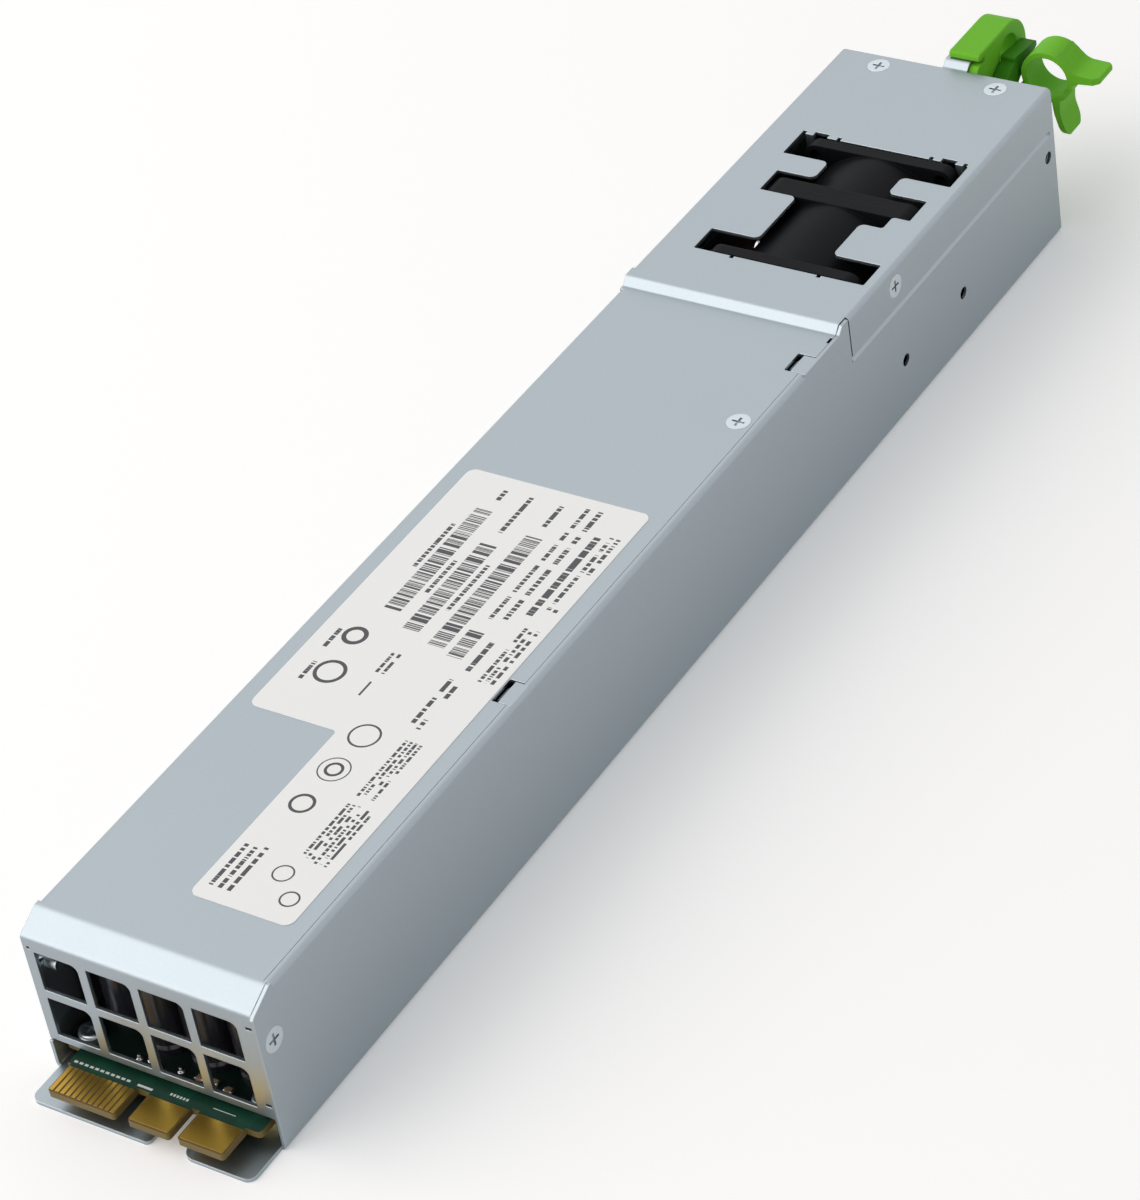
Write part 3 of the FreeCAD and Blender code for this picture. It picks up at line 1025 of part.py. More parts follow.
def make_cable_clip():
    """Open ring for the mains cord, a wing over its mouth, a thumb tab below, a foot on the panel."""
    y0, y1 = CLIP_Y
    outer = CLIP_BORE + CLIP_WALL
    band = ring(V(CLIP_X, y0, CLIP_Z), V(CLIP_X, y1, CLIP_Z), outer, CLIP_BORE)
    mouth = prism("xz", [(CLIP_X, CLIP_Z), (CLIP_X + 12, CLIP_Z - 5.0), (CLIP_X + 9, CLIP_Z - 9.5)], y0 - 1, y1 + 1)
    wing = prism("xz", [(CLIP_X + 3.2, CLIP_Z + 6.0), (CLIP_X + 7.2, CLIP_Z + 2.2), (CLIP_X + 13.4, CLIP_Z + 1.9),
                        (CLIP_X + 13.4, CLIP_Z + 0.4), (CLIP_X + 7.6, CLIP_Z - 0.2), (CLIP_X + 5.4, CLIP_Z - 1.6),
                        (CLIP_X + 4.9, CLIP_Z + 1.0)], y0, y1, [0, 4.0, 0.5, 0.5, 2.0, 0.3, 0])
    corners = [prism("xy", [(CLIP_X + 15, y0 - 1), (CLIP_X + 10.6, y0 - 1), (CLIP_X + 15, y0 + 2.6)], 20, 45),
               prism("xy", [(CLIP_X + 15, y1 + 1), (CLIP_X + 11.2, y1 + 1), (CLIP_X + 15, y1 - 2.0)], 20, 45)]
    cord = rod(V(CLIP_X, y0 - 1, CLIP_Z), V(CLIP_X, y1 + 1, CLIP_Z), CLIP_BORE)
    wing = wing.cut(Part.makeCompound(corners + [cord]))
    hang = prism("xz", [(CLIP_X + 0.8, CLIP_Z - 6.0), (CLIP_X + 3.0, CLIP_Z - 5.6), (CLIP_X + 2.7, CLIP_Z - 9.5),
                        (CLIP_X + 4.4, CLIP_Z - 15.6), (CLIP_X + 3.0, CLIP_Z - 16.2), (CLIP_X + 1.2, CLIP_Z - 9.5)],
                 y0, y1, [0, 0, 6.0, 0.4, 0.4, 6.0])
    tab = hang.common(prism("yz", [(y0, CLIP_Z - 16.2), (y1, CLIP_Z - 16.2), (y1, CLIP_Z), (y0, CLIP_Z)],
                            CLIP_X, CLIP_X + 6, [3.6, 3.6, 0, 0]))
    stem = slab("xz", CLIP_X - 7.2, CLIP_X - 1.2, CLIP_Z - 7.8, CLIP_Z - 2.6, LENGTH + 0.1, y1, 0.8)
    foot = slab("xz", CLIP_X - 7.2, CLIP_X - 1.2, CLIP_Z - 8.2, CLIP_Z + 2.0, LENGTH + 0.1, LENGTH + 1.9, 0.8)
    stem = stem.cut(rod(V(CLIP_X, LENGTH, CLIP_Z), V(CLIP_X, y0, CLIP_Z), CLIP_BORE + CLIP_WALL / 2)).cut(cord)
    clip = fuse([fuse([band, stem]).cut(mouth), wing, tab.cut(cord), foot])
    save("cable_clip", clip.cut(Part.makeCompound(root_holes(CLIP_SCREWS, ROOT_SCREW_R + 0.05))))
    save("clip_screw", root_screws(CLIP_SCREWS, PANEL_BACK))


def make_status_light():
    """Light pipe with a flanged lens, pushed into the end panel."""
    stem = rod(V(LED_X, PANEL_BACK - 5.0, LED_Z), V(LED_X, LENGTH + 0.4, LED_Z), LED_R)
    lens = rod(V(LED_X, LENGTH, LED_Z), V(LED_X, LENGTH + 0.9, LED_Z), LED_R + 0.5)
    lens = lens.makeFillet(0.4, [e for e in lens.Edges if e.BoundBox.YMin > LENGTH + 0.8])
    save("status_light", fuse([stem, lens]))


def main():
    os.makedirs("parts", exist_ok=True)
    make_tray()
    make_cover()
    make_end_panel()
    make_label()
    make_cover_screws()
    make_board()
    make_contacts()
    make_standoffs()
    make_insulator()
    make_secondary_side()
    make_primary_side()
    make_bulk_capacitor()
    make_input_filter()
    make_control_board()
    make_stage("intake", FAN_INTAKE, V(0, -1, 0), 5, 1)
    make_stage("exhaust", FAN_EXHAUST, V(0, 1, 0), 7, -1)
    make_fan_lead()
    make_inlet()
    make_inlet_wires()
    make_latch_bracket()
    make_lever()
    make_lever_spring()
    make_pull_loop()
    make_cable_clip()
    make_status_light()


main()
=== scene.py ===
# %% [markdown]
# # A hot swap server power supply
# A slim steel box that slides into a server: a card edge and a grille at one end, a fan in the
# middle of the raised part, and a green pull loop, release lever and cord clip at the other end.
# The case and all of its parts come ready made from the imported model, so this lesson is about
# finishes: zinc plated steel, moulded plastic, a printed label, a circuit board and its small parts.

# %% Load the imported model
import json
import math

import bpy
from mathutils import Matrix, Vector


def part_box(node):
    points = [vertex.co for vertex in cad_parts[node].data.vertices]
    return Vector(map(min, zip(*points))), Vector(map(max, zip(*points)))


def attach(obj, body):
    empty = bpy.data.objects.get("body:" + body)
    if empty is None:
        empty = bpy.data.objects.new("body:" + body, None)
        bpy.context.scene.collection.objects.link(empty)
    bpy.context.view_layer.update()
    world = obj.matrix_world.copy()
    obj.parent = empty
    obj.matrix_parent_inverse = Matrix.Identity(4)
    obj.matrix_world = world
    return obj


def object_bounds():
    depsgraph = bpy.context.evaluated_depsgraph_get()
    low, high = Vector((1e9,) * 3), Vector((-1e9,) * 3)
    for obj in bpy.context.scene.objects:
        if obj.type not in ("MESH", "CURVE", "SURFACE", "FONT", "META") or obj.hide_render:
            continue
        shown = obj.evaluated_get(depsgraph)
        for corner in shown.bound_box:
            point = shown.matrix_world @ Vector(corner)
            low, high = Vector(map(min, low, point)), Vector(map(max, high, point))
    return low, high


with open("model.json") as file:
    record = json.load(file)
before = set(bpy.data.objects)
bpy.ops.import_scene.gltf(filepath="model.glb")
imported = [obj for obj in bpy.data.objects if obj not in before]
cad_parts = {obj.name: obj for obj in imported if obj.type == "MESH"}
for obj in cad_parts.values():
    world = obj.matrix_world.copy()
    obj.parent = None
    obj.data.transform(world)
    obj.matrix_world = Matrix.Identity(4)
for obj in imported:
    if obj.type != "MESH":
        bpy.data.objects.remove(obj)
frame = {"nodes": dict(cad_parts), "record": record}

MM = 0.001
NODES = frame["nodes"]
CAD_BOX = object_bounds()
print("nodes:", len(NODES), "box in mm:", [round(v / MM, 1) for corner in CAD_BOX for v in corner])

# %% [markdown]
# ## The camera
# A long lens keeps the edges of the case almost parallel, as in a catalogue picture. The camera
# looks down on the corner between the grille and the right wall, and is rolled a little so that
# the long case runs up across the frame. Its place is counted from the middle of the object's box.

# %% Camera
AZIMUTH, ELEVATION, ROLL = (math.radians(degrees) for degrees in (38.143, 38.07, -10.266))
CAMERA_DISTANCE = 0.8648
CAMERA_SHIFT = (-0.01494, -0.01630)     # to the right and up, before the roll
LENS_MM, SENSOR_MM = 123.15, 36.0


def camera_matrix(centre):
    """The camera's place and turn, from its angles and its distance."""
    back = Vector((math.sin(AZIMUTH) * math.cos(ELEVATION), -math.cos(AZIMUTH) * math.cos(ELEVATION),
                   math.sin(ELEVATION)))
    right = Vector((0, 0, 1)).cross(back).normalized()
    up = back.cross(right)
    place = centre + right * CAMERA_SHIFT[0] + up * CAMERA_SHIFT[1] + back * CAMERA_DISTANCE
    rolled_right = right * math.cos(ROLL) + up * math.sin(ROLL)
    rolled_up = up * math.cos(ROLL) - right * math.sin(ROLL)
    turn = Matrix((rolled_right, rolled_up, back)).transposed().to_4x4()
    return Matrix.Translation(place) @ turn


bpy.ops.object.camera_add()
camera = bpy.context.object
camera.name = "camera"
camera.matrix_world = camera_matrix((CAD_BOX[0] + CAD_BOX[1]) / 2)
camera.data.lens = LENS_MM
camera.data.sensor_width = SENSOR_MM
camera.data.clip_start, camera.data.clip_end = 0.05, 20
bpy.context.scene.camera = camera
print("camera at", [round(v / MM) for v in camera.location])

# %% [markdown]
# ## Small helpers for nodes
# The studio and every finish below are short chains of nodes. Three helpers keep the chains readable:
# one makes a node and fills or joins its sockets, one does a sum, and one tells a ray that shows the
# room from a ray that only carries its light. A value that joins from another node is passed as that
# node's output.

# %% Node helpers


def add_node(tree, kind, inputs=None, **settings):
    """A node of a kind, with its settings and its inputs: a number, a colour or another output."""
    node = tree.nodes.new(kind)
    for name, value in settings.items():
        setattr(node, name, value)
    for name, value in (inputs or {}).items():
        if isinstance(value, bpy.types.NodeSocket):
            tree.links.new(value, node.inputs[name])
        else:
            node.inputs[name].default_value = value
    return node


def math_node(tree, operation, first, second=0.0):
    """One sum on values; either side may be a number or another node's output."""
    return add_node(tree, "ShaderNodeMath", {0: first, 1: second}, operation=operation).outputs[0]


def seen_directly(tree):
    """1 for what the camera, a mirror or a glass shows, and 0 for the light that falls on things."""
    rays = add_node(tree, "ShaderNodeLightPath").outputs
    mirrored = math_node(tree, "MAXIMUM", rays["Is Glossy Ray"], rays["Is Transmission Ray"])
    return math_node(tree, "MAXIMUM", rays["Is Camera Ray"], mirrored)


print("node helpers:", [step.__name__ for step in (add_node, math_node, seen_directly)])


# %% [markdown]
# ## Floor, sky and lamps
# Plated steel shows what stands around it, so the room matters more than the steel's own colour.
# The room is a white floor under a white sky. The camera and the mirroring steel see the sky at full
# white, while the light that it sheds is weaker, so the shadows keep some depth. A very large lamp
# at the front left is mirrored in the sloped nose and in the step, and a weak one at the back left
# lifts the flat top. Far away, where the lamps no longer reach, the floor glows more.

# %% Studio
FLOOR_SIZE = 8.0
FLOOR_COLOUR = (0.98, 0.98, 0.98, 1)
NEAR_GLOW, FAR_GLOW = 0.18, 0.55        # what is added to the lit floor where it is seen directly
NEAR, FAR = 0.5, 2.6                    # metres from the object
LAMP_COLOUR = (1.0, 0.95, 0.92)
SKY_LIGHT, SKY_SEEN = 0.44, 1.0


def softbox(name, place, size, power):
    """A square lamp that looks at the middle of the case; metres and watts."""
    bpy.ops.object.light_add(type="AREA", location=place)
    lamp = bpy.context.object
    lamp.name = name
    lamp.data.size = size
    lamp.data.energy = power
    lamp.data.color = LAMP_COLOUR
    aim = (CAD_BOX[0] + CAD_BOX[1]) / 2 - Vector(place)
    lamp.rotation_euler = aim.to_track_quat("-Z", "Y").to_euler()
    return lamp


bpy.ops.mesh.primitive_plane_add(size=FLOOR_SIZE, location=(0, 0, CAD_BOX[0].z))
floor = bpy.context.object
floor.name = "floor"
floor_paint = bpy.data.materials.new("floor_paint")
floor_paint.use_nodes = True
tree = floor_paint.node_tree
shader = tree.nodes["Principled BSDF"].inputs
shader["Base Color"].default_value = FLOOR_COLOUR
shader["Roughness"].default_value = 0.9
shader["Specular IOR Level"].default_value = 0.0
shader["Emission Color"].default_value = (1, 1, 1, 1)
place = add_node(tree, "ShaderNodeTexCoord").outputs["Object"]
distance = add_node(tree, "ShaderNodeVectorMath", {0: place}, operation="LENGTH").outputs["Value"]
glow = add_node(tree, "ShaderNodeMapRange", {
    "Value": distance, "From Min": NEAR, "From Max": FAR, "To Min": NEAR_GLOW, "To Max": FAR_GLOW})
shown_glow = math_node(tree, "MULTIPLY", glow.outputs[0], seen_directly(tree))
tree.links.new(shown_glow, shader["Emission Strength"])
floor.data.materials.append(floor_paint)

sky = bpy.data.worlds.new("sky")
sky.use_nodes = True
tree = sky.node_tree
background = tree.nodes["Background"].inputs
background["Color"].default_value = (0.98, 0.99, 1.0, 1)
added = math_node(tree, "MULTIPLY", seen_directly(tree), SKY_SEEN - SKY_LIGHT)
tree.links.new(math_node(tree, "ADD", added, SKY_LIGHT), background["Strength"])
bpy.context.scene.world = sky

softbox("front_lamp", place=(-1.25, -0.85, 1.2), size=2.7, power=36)
softbox("back_lamp", place=(-0.9, 1.2, 1.4), size=2.0, power=3.5)
bpy.context.scene.view_settings.view_transform = "Standard"

# %% [markdown]
# ## Small helpers for materials
# Every finish ends in one Principled shader. These helpers mix colours, stretch a value, make and
# place a node group, and start a material.

# %% Material helpers


def mix_colours(tree, factor, first, second):
    """The first colour where the factor is 0, and the second where it is 1."""
    node = add_node(tree, "ShaderNodeMix", data_type="RGBA")
    for socket, value in ((node.inputs[0], factor), (node.inputs[6], first), (node.inputs[7], second)):
        if isinstance(value, bpy.types.NodeSocket):
            tree.links.new(value, socket)
        else:
            socket.default_value = value
    return node.outputs[2]


def spread(tree, value, low, high):
    """Stretch a value from 0..1 to low..high."""
    return add_node(tree, "ShaderNodeMapRange", {"Value": value, "To Min": low, "To Max": high}).outputs[0]


def new_group(name, inputs, outputs):
    """An empty node group with named inputs, each with its starting value, and named outputs."""
    group = bpy.data.node_groups.new(name, "ShaderNodeTree")
    for label, value in inputs.items():
        socket = group.interface.new_socket(label, in_out="INPUT", socket_type="NodeSocketFloat")
        socket.default_value = value
    for label, kind in outputs.items():
        group.interface.new_socket(label, in_out="OUTPUT", socket_type="NodeSocket" + kind)
    return group, group.nodes.new("NodeGroupInput").outputs, group.nodes.new("NodeGroupOutput").inputs


def use_group(tree, group, **values):
    """A group placed in a material with its own values; gives its outputs."""
    node = tree.nodes.new("ShaderNodeGroup")
    node.node_tree = group
    for name, value in values.items():
        node.inputs[name].default_value = value
    return node.outputs


def new_material(name, metallic=0.0, roughness=0.5):
    """A material with one Principled shader; gives the material, its tree and the shader's inputs."""
    made = bpy.data.materials.new(name)
    made.use_nodes = True
    shader = made.node_tree.nodes["Principled BSDF"].inputs
    shader["Metallic"].default_value = metallic
    shader["Roughness"].default_value = roughness
    return made, made.node_tree, shader


MATERIAL_HELPERS = (mix_colours, spread, new_group, use_group, new_material)
print("material helpers:", [step.__name__ for step in MATERIAL_HELPERS])

# %% [markdown]
# ## Grain, handling and edges
# Three effects come back in almost every finish. A fine grain breaks the highlights, as plating and
# moulded plastic do. Faint clouds in the roughness stand for handling. The edges of cut sheet and of
# moulded parts are a little round, so they catch a thin line of light; the same edge mask also paints a
# lighter highlight into the colour. Each one is a node group.

# %% Node groups
FLAT, ROUND = 0.99, 0.8     # likeness of the true and the rounded normal, on a flat face and on an edge
grain_group, grain_in, grain_out = new_group(
    "fine_grain", {"Scale": 1500.0, "Detail": 3.0}, {"Mask": "Float", "Height": "Float"})
place = add_node(grain_group, "ShaderNodeTexCoord").outputs["Object"]
speckle = add_node(grain_group, "ShaderNodeTexNoise",
                   {"Vector": place, "Scale": grain_in["Scale"], "Detail": grain_in["Detail"]}).outputs[0]
grain_group.links.new(speckle, grain_out["Height"])
grain_group.links.new(spread(grain_group, speckle, -0.6, 1.6), grain_out["Mask"])

handling_group, handling_in, handling_out = new_group(
    "handling", {"Scale": 26.0, "Low": 0.3, "High": 0.4}, {"Mask": "Float", "Roughness": "Float"})
place = add_node(handling_group, "ShaderNodeTexCoord").outputs["Object"]
cloud = add_node(handling_group, "ShaderNodeTexNoise",
                 {"Vector": place, "Scale": handling_in["Scale"], "Detail": 4.0}).outputs[0]
handling_group.links.new(cloud, handling_out["Mask"])
handling_group.links.new(spread(handling_group, cloud, handling_in["Low"], handling_in["High"]),
                         handling_out["Roughness"])

edge_group, edge_in, edge_out = new_group(
    "round_edge", {"Radius": 0.2 * MM}, {"Mask": "Float", "Normal": "Vector"})
rounded = add_node(edge_group, "ShaderNodeBevel", {"Radius": edge_in["Radius"]}, samples=6).outputs[0]
flat = add_node(edge_group, "ShaderNodeNewGeometry").outputs["Normal"]
likeness = add_node(edge_group, "ShaderNodeVectorMath", {0: rounded, 1: flat}, operation="DOT_PRODUCT")
edge_mask = add_node(edge_group, "ShaderNodeMapRange",
                     {"Value": likeness.outputs["Value"], "From Min": FLAT, "From Max": ROUND})
edge_group.links.new(edge_mask.outputs[0], edge_out["Mask"])
edge_group.links.new(rounded, edge_out["Normal"])
print("groups:", [g.name for g in bpy.data.node_groups])

# %% [markdown]
# ## One recipe for the plain finishes
# Most parts are one colour all over: plated steel, black plastic, green plastic, copper. They share
# one recipe and differ in its numbers. The colour shifts a little with the grain and is painted lighter
# at the edges as a painted highlight, the roughness follows the handling clouds, and the grain goes into
# a shallow bump.

# %% Recipe
BUMP_DEPTH = 0.1 * MM


def plain_finish(name, colour, metallic, roughness, grain=1500.0, depth=0.04, edge=0.2, shift=0.08,
                 edge_highlight=0.15, clouds=26.0, specular=0.5):
    """A finish of one colour; edge is the edge radius in mm, shift darkens the colour with the grain, and
    the edge lift paints a lighter highlight along the edges.
    """
    made, tree, shader = new_material(name, metallic)
    shader["Specular IOR Level"].default_value = specular
    fine = use_group(tree, grain_group, Scale=grain)
    worn = use_group(tree, handling_group, Scale=clouds, Low=roughness[0], High=roughness[1])
    corner = use_group(tree, edge_group, Radius=edge * MM)
    darker = tuple(v * (1 - shift) for v in colour) + (1,)
    # painted highlight: the colour is made lighter along the rounded edges, where they catch the light
    lighter = tuple(min(1.0, v + edge_highlight * (1 - v)) for v in colour) + (1,)
    mottled = mix_colours(tree, fine["Mask"], darker, colour + (1,))
    tree.links.new(mix_colours(tree, corner["Mask"], mottled, lighter), shader["Base Color"])
    tree.links.new(worn["Roughness"], shader["Roughness"])
    bump = add_node(tree, "ShaderNodeBump", {"Height": fine["Height"], "Normal": corner["Normal"],
                                             "Strength": depth, "Distance": BUMP_DEPTH})
    tree.links.new(bump.outputs[0], shader["Normal"])
    return made


print("recipe:", plain_finish.__name__, "with bumps of", round(BUMP_DEPTH / MM, 2), "mm")

# %% [markdown]
# ## Steel, plastics and metals
# Zinc plating is a pale blue grey with a satin surface, with a painted highlight along its edges. The
# fan is black moulded plastic, and everything that a hand may touch is green. The rest sits inside the
# case: ferrite, copper, aluminium, ceramic and tin.

# %% Plain finishes
FINISHES = {
    "zinc_steel": plain_finish("zinc_steel", (0.368, 0.418, 0.448), 1.0, (0.36, 0.46), 1800.0, 0.03, 0.25,
                               0.04),
    "screw_steel": plain_finish("screw_steel", (0.56, 0.62, 0.65), 1.0, (0.26, 0.36), 2500.0, 0.03, 0.12),
    "gold": plain_finish("gold", (0.5, 0.305, 0.052), 1.0, (0.26, 0.38), 2200.0, 0.05, 0.05),
    "brass": plain_finish("brass", (0.72, 0.56, 0.26), 1.0, (0.25, 0.35)),
    "insulator": plain_finish("insulator", (0.02, 0.02, 0.022), 0.0, (0.35, 0.45)),
    "heat_sink": plain_finish("heat_sink", (0.62, 0.63, 0.65), 1.0, (0.38, 0.5), 900.0, 0.08),
    "ferrite": plain_finish("ferrite", (0.045, 0.045, 0.05), 0.0, (0.55, 0.7), 1200.0, 0.15),
    "copper": plain_finish("copper", (0.62, 0.26, 0.1), 1.0, (0.22, 0.32)),
    "tape_yellow": plain_finish("tape_yellow", (0.72, 0.5, 0.04), 0.0, (0.3, 0.4), 700.0, 0.06),
    "film_yellow": plain_finish("film_yellow", (0.62, 0.4, 0.05), 0.0, (0.4, 0.5)),
    "ceramic_white": plain_finish("ceramic_white", (0.8, 0.79, 0.74), 0.0, (0.2, 0.3)),
    "fan_black": plain_finish("fan_black", (0.006, 0.0066, 0.008), 0.0, (0.42, 0.55), 1600.0, 0.04, 0.25,
                              0.1, 0.01, specular=0.07),
    "bearing_steel": plain_finish("bearing_steel", (0.7, 0.71, 0.73), 1.0, (0.12, 0.2)),
    "wire_black": plain_finish("wire_black", (0.015, 0.015, 0.016), 0.0, (0.4, 0.5)),
    "wire_mains": plain_finish("wire_mains", (0.16, 0.06, 0.02), 0.0, (0.35, 0.45)),
    "inlet_black": plain_finish("inlet_black", (0.014, 0.014, 0.016), 0.0, (0.25, 0.35), 1500.0, 0.05),
    "nickel": plain_finish("nickel", (0.75, 0.73, 0.69), 1.0, (0.14, 0.24)),
    "green_plastic": plain_finish("green_plastic", (0.175, 0.55, 0.03), 0.0, (0.46, 0.58), 1500.0, 0.05,
                                  0.35, 0.06, 0.06, specular=0.14),
    "light_pipe": plain_finish("light_pipe", (0.78, 0.86, 0.78), 0.0, (0.08, 0.14)),
}
print("plain finishes:", len(FINISHES))

# %% [markdown]
# ## Parts with two finishes in one piece
# A capacitor has a dark plastic sleeve and a bare aluminium end, and a transistor has a black body on
# tinned legs. Each is one piece here, so the material itself tells the two apart: the end by the way
# its face looks, the legs by their height above the board.

# %% Capacitors and transistors
BOARD_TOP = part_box("output_capacitors")[0].z
SLEEVE, BARE_END = (0.016, 0.016, 0.022, 1), (0.6, 0.61, 0.62, 1)
EPOXY, TINNED = (0.02, 0.02, 0.022, 1), (0.66, 0.66, 0.65, 1)
LEG_TOPS = {"rectifiers": 11.9, "power_transistors": 10.9, "bridge_rectifier": 8.9, "control_chips": 0.0}


def facing(tree, axis):
    """1 on faces that look along an axis, either way, and 0 elsewhere."""
    normal = add_node(tree, "ShaderNodeNewGeometry").outputs["Normal"]
    along = add_node(tree, "ShaderNodeSeparateXYZ", {0: normal}).outputs[axis]
    return math_node(tree, "GREATER_THAN", math_node(tree, "ABSOLUTE", along), 0.95)


def capacitor_finish(name, end_axis):
    """Dark glossy sleeve, bare aluminium at the ends."""
    made, tree, shader = new_material(name)
    end = facing(tree, end_axis)
    worn = use_group(tree, handling_group, Scale=60.0, Low=0.18, High=0.3)
    tree.links.new(mix_colours(tree, end, SLEEVE, BARE_END), shader["Base Color"])
    tree.links.new(end, shader["Metallic"])
    tree.links.new(worn["Roughness"], shader["Roughness"])
    return made


def legged_finish(name, leg_top):
    """Black epoxy above a height, tinned legs below it."""
    made, tree, shader = new_material(name)
    place = add_node(tree, "ShaderNodeTexCoord").outputs["Object"]
    height = add_node(tree, "ShaderNodeSeparateXYZ", {0: place}).outputs["Z"]
    leg = math_node(tree, "LESS_THAN", height, leg_top)
    tree.links.new(mix_colours(tree, leg, EPOXY, TINNED), shader["Base Color"])
    tree.links.new(leg, shader["Metallic"])
    tree.links.new(use_group(tree, handling_group, Low=0.35, High=0.5)["Roughness"], shader["Roughness"])
    return made


print("board top in mm:", round(BOARD_TOP / MM, 2))

# %% [markdown]
# ## The print group
# Two things on this object carry print: the label and the front edge of the board. One group draws
# rows of short strokes or bars inside a rectangle, given in millimetres on the object, so small print,
# scanner strips and plain dashes are all the same group with other numbers.

# %% Print group
rows_group, rows_in, rows_out = new_group(
    "printed_rows", {"X": 0.0, "Y": 0.0, "Half Width": 5.0, "Half Length": 5.0, "Pitch": 2.0, "Fill": 0.5,
                     "Word Gap": 0.4, "Stroke Gap": 0.5, "Strokes": 2.0, "Cell Fill": 1.0}, {"Ink": "Float"})
CELL_MM = 2.9           # a scanner strip is set in cells of this length
WORDS_PER_MM = 0.28     # how fast the noise that parts the words changes along a row
WORD_ROW, STROKE_ROW = 7.3, 3.7     # far enough apart in the noise that no two rows look alike


def in_rows(operation, first, second=0.0):
    """One sum inside the print group."""
    return math_node(rows_group, operation, first, second)


def noise_above(across, along, threshold):
    """1 where a noise over the two values is above a threshold."""
    spot = add_node(rows_group, "ShaderNodeCombineXYZ", {"X": along, "Y": across})
    noise = add_node(rows_group, "ShaderNodeTexNoise",
                     {"Vector": spot.outputs[0], "Scale": 1.0, "Detail": 0.0})
    return in_rows("GREATER_THAN", noise.outputs[0], threshold)


place = add_node(rows_group, "ShaderNodeTexCoord").outputs["Object"]
axes = add_node(rows_group, "ShaderNodeSeparateXYZ", {0: place}).outputs
along = in_rows("MULTIPLY", axes["Y"], 1 / MM)
from_x = in_rows("SUBTRACT", in_rows("MULTIPLY", axes["X"], 1 / MM), rows_in["X"])
from_y = in_rows("SUBTRACT", along, rows_in["Y"])
row = in_rows("DIVIDE", in_rows("ADD", from_x, rows_in["Half Width"]), rows_in["Pitch"])
row_number = in_rows("FLOOR", row)
ink = in_rows("LESS_THAN", in_rows("ABSOLUTE", from_x), rows_in["Half Width"])
for mask in (in_rows("LESS_THAN", in_rows("ABSOLUTE", from_y), rows_in["Half Length"]),
             in_rows("LESS_THAN", in_rows("FRACT", row), rows_in["Fill"]),
             in_rows("LESS_THAN", in_rows("FRACT", in_rows("DIVIDE", along, CELL_MM)), rows_in["Cell Fill"]),
             noise_above(in_rows("MULTIPLY", row_number, WORD_ROW),
                         in_rows("MULTIPLY", along, WORDS_PER_MM), rows_in["Word Gap"]),
             noise_above(in_rows("MULTIPLY", row_number, STROKE_ROW),
                         in_rows("MULTIPLY", along, rows_in["Strokes"]), rows_in["Stroke Gap"])):
    ink = in_rows("MULTIPLY", ink, mask)
rows_group.links.new(ink, rows_out["Ink"])


def printed(tree, tables, names, group):
    """The inks of a table of marks, put together."""
    inks = [use_group(tree, group, **dict(zip(names, numbers)))["Ink"] for numbers in tables]
    total = inks[0]
    for other in inks[1:]:
        total = math_node(tree, "MAXIMUM", total, other)
    return total


ROW_NUMBERS = ("X", "Y", "Half Width", "Half Length", "Pitch", "Fill", "Word Gap", "Stroke Gap", "Strokes",
               "Cell Fill")
print("print group sockets:", len(ROW_NUMBERS))

# %% [markdown]
# ## The circuit board
# Solder mask is a green film over the copper. Where copper lies under it the green is lighter, so a
# stepped pattern of broad copper fields shows through. The contact tabs have no mask, only bare board
# under the gold, and the cut edges are glass fibre, pale and dull. A row of white dashes stands behind
# the signal contacts. Behind the grille the board is painted nearly black, as painted shade for the
# inside of the case.

# %% Solder mask
MASK_BARE = (0.002, 0.034, 0.017, 1)
MASK_COPPER = (0.003, 0.046, 0.024, 1)
FIBRE_BOARD = (0.17, 0.12, 0.035, 1)
TAB_BOARD = (0.14, 0.09, 0.022, 1)
BOARD_INK = (0.62, 0.68, 0.62, 1)
# painted shade: the nearly black colour of the board behind the grille stands for the shade inside the case
INSIDE_PAINTED_SHADE = (0.0015, 0.009, 0.006, 1)
TAB_ROOT_Y, PAINTED_SHADE_Y = -2.9, 1.6
#    X      Y    half w half l pitch fill  word  stroke strokes/mm cells
BOARD_DASHES = (
    (-13.5, -1.45, 6.9, 0.27, 1.26, 0.66, -1.0, -1.0, 1.0, 1.0),
    (-3.4, -1.55, 1.75, 0.27, 3.5, 1.0, -1.0, -1.0, 1.0, 1.0),
    (4.4, -0.95, 2.2, 0.3, 0.75, 0.6, -1.0, -1.0, 1.0, 1.0),
    (14.6, -0.6, 2.6, 0.09, 5.2, 1.0, -1.0, -1.0, 1.0, 1.0),
)

solder_mask, tree, shader = new_material("solder_mask")
shader["Specular IOR Level"].default_value = 0.3
place = add_node(tree, "ShaderNodeTexCoord").outputs["Object"]
fields = add_node(tree, "ShaderNodeTexVoronoi", {"Vector": place, "Scale": 160.0}, distance="CHEBYCHEV")
field = add_node(tree, "ShaderNodeSeparateColor", {0: fields.outputs["Color"]}).outputs[0]
copper = math_node(tree, "GREATER_THAN", field, 0.45)
green = mix_colours(tree, copper, MASK_BARE, MASK_COPPER)
green = mix_colours(tree, printed(tree, BOARD_DASHES, ROW_NUMBERS, rows_group), green, BOARD_INK)
along = add_node(tree, "ShaderNodeSeparateXYZ", {0: place}).outputs["Y"]
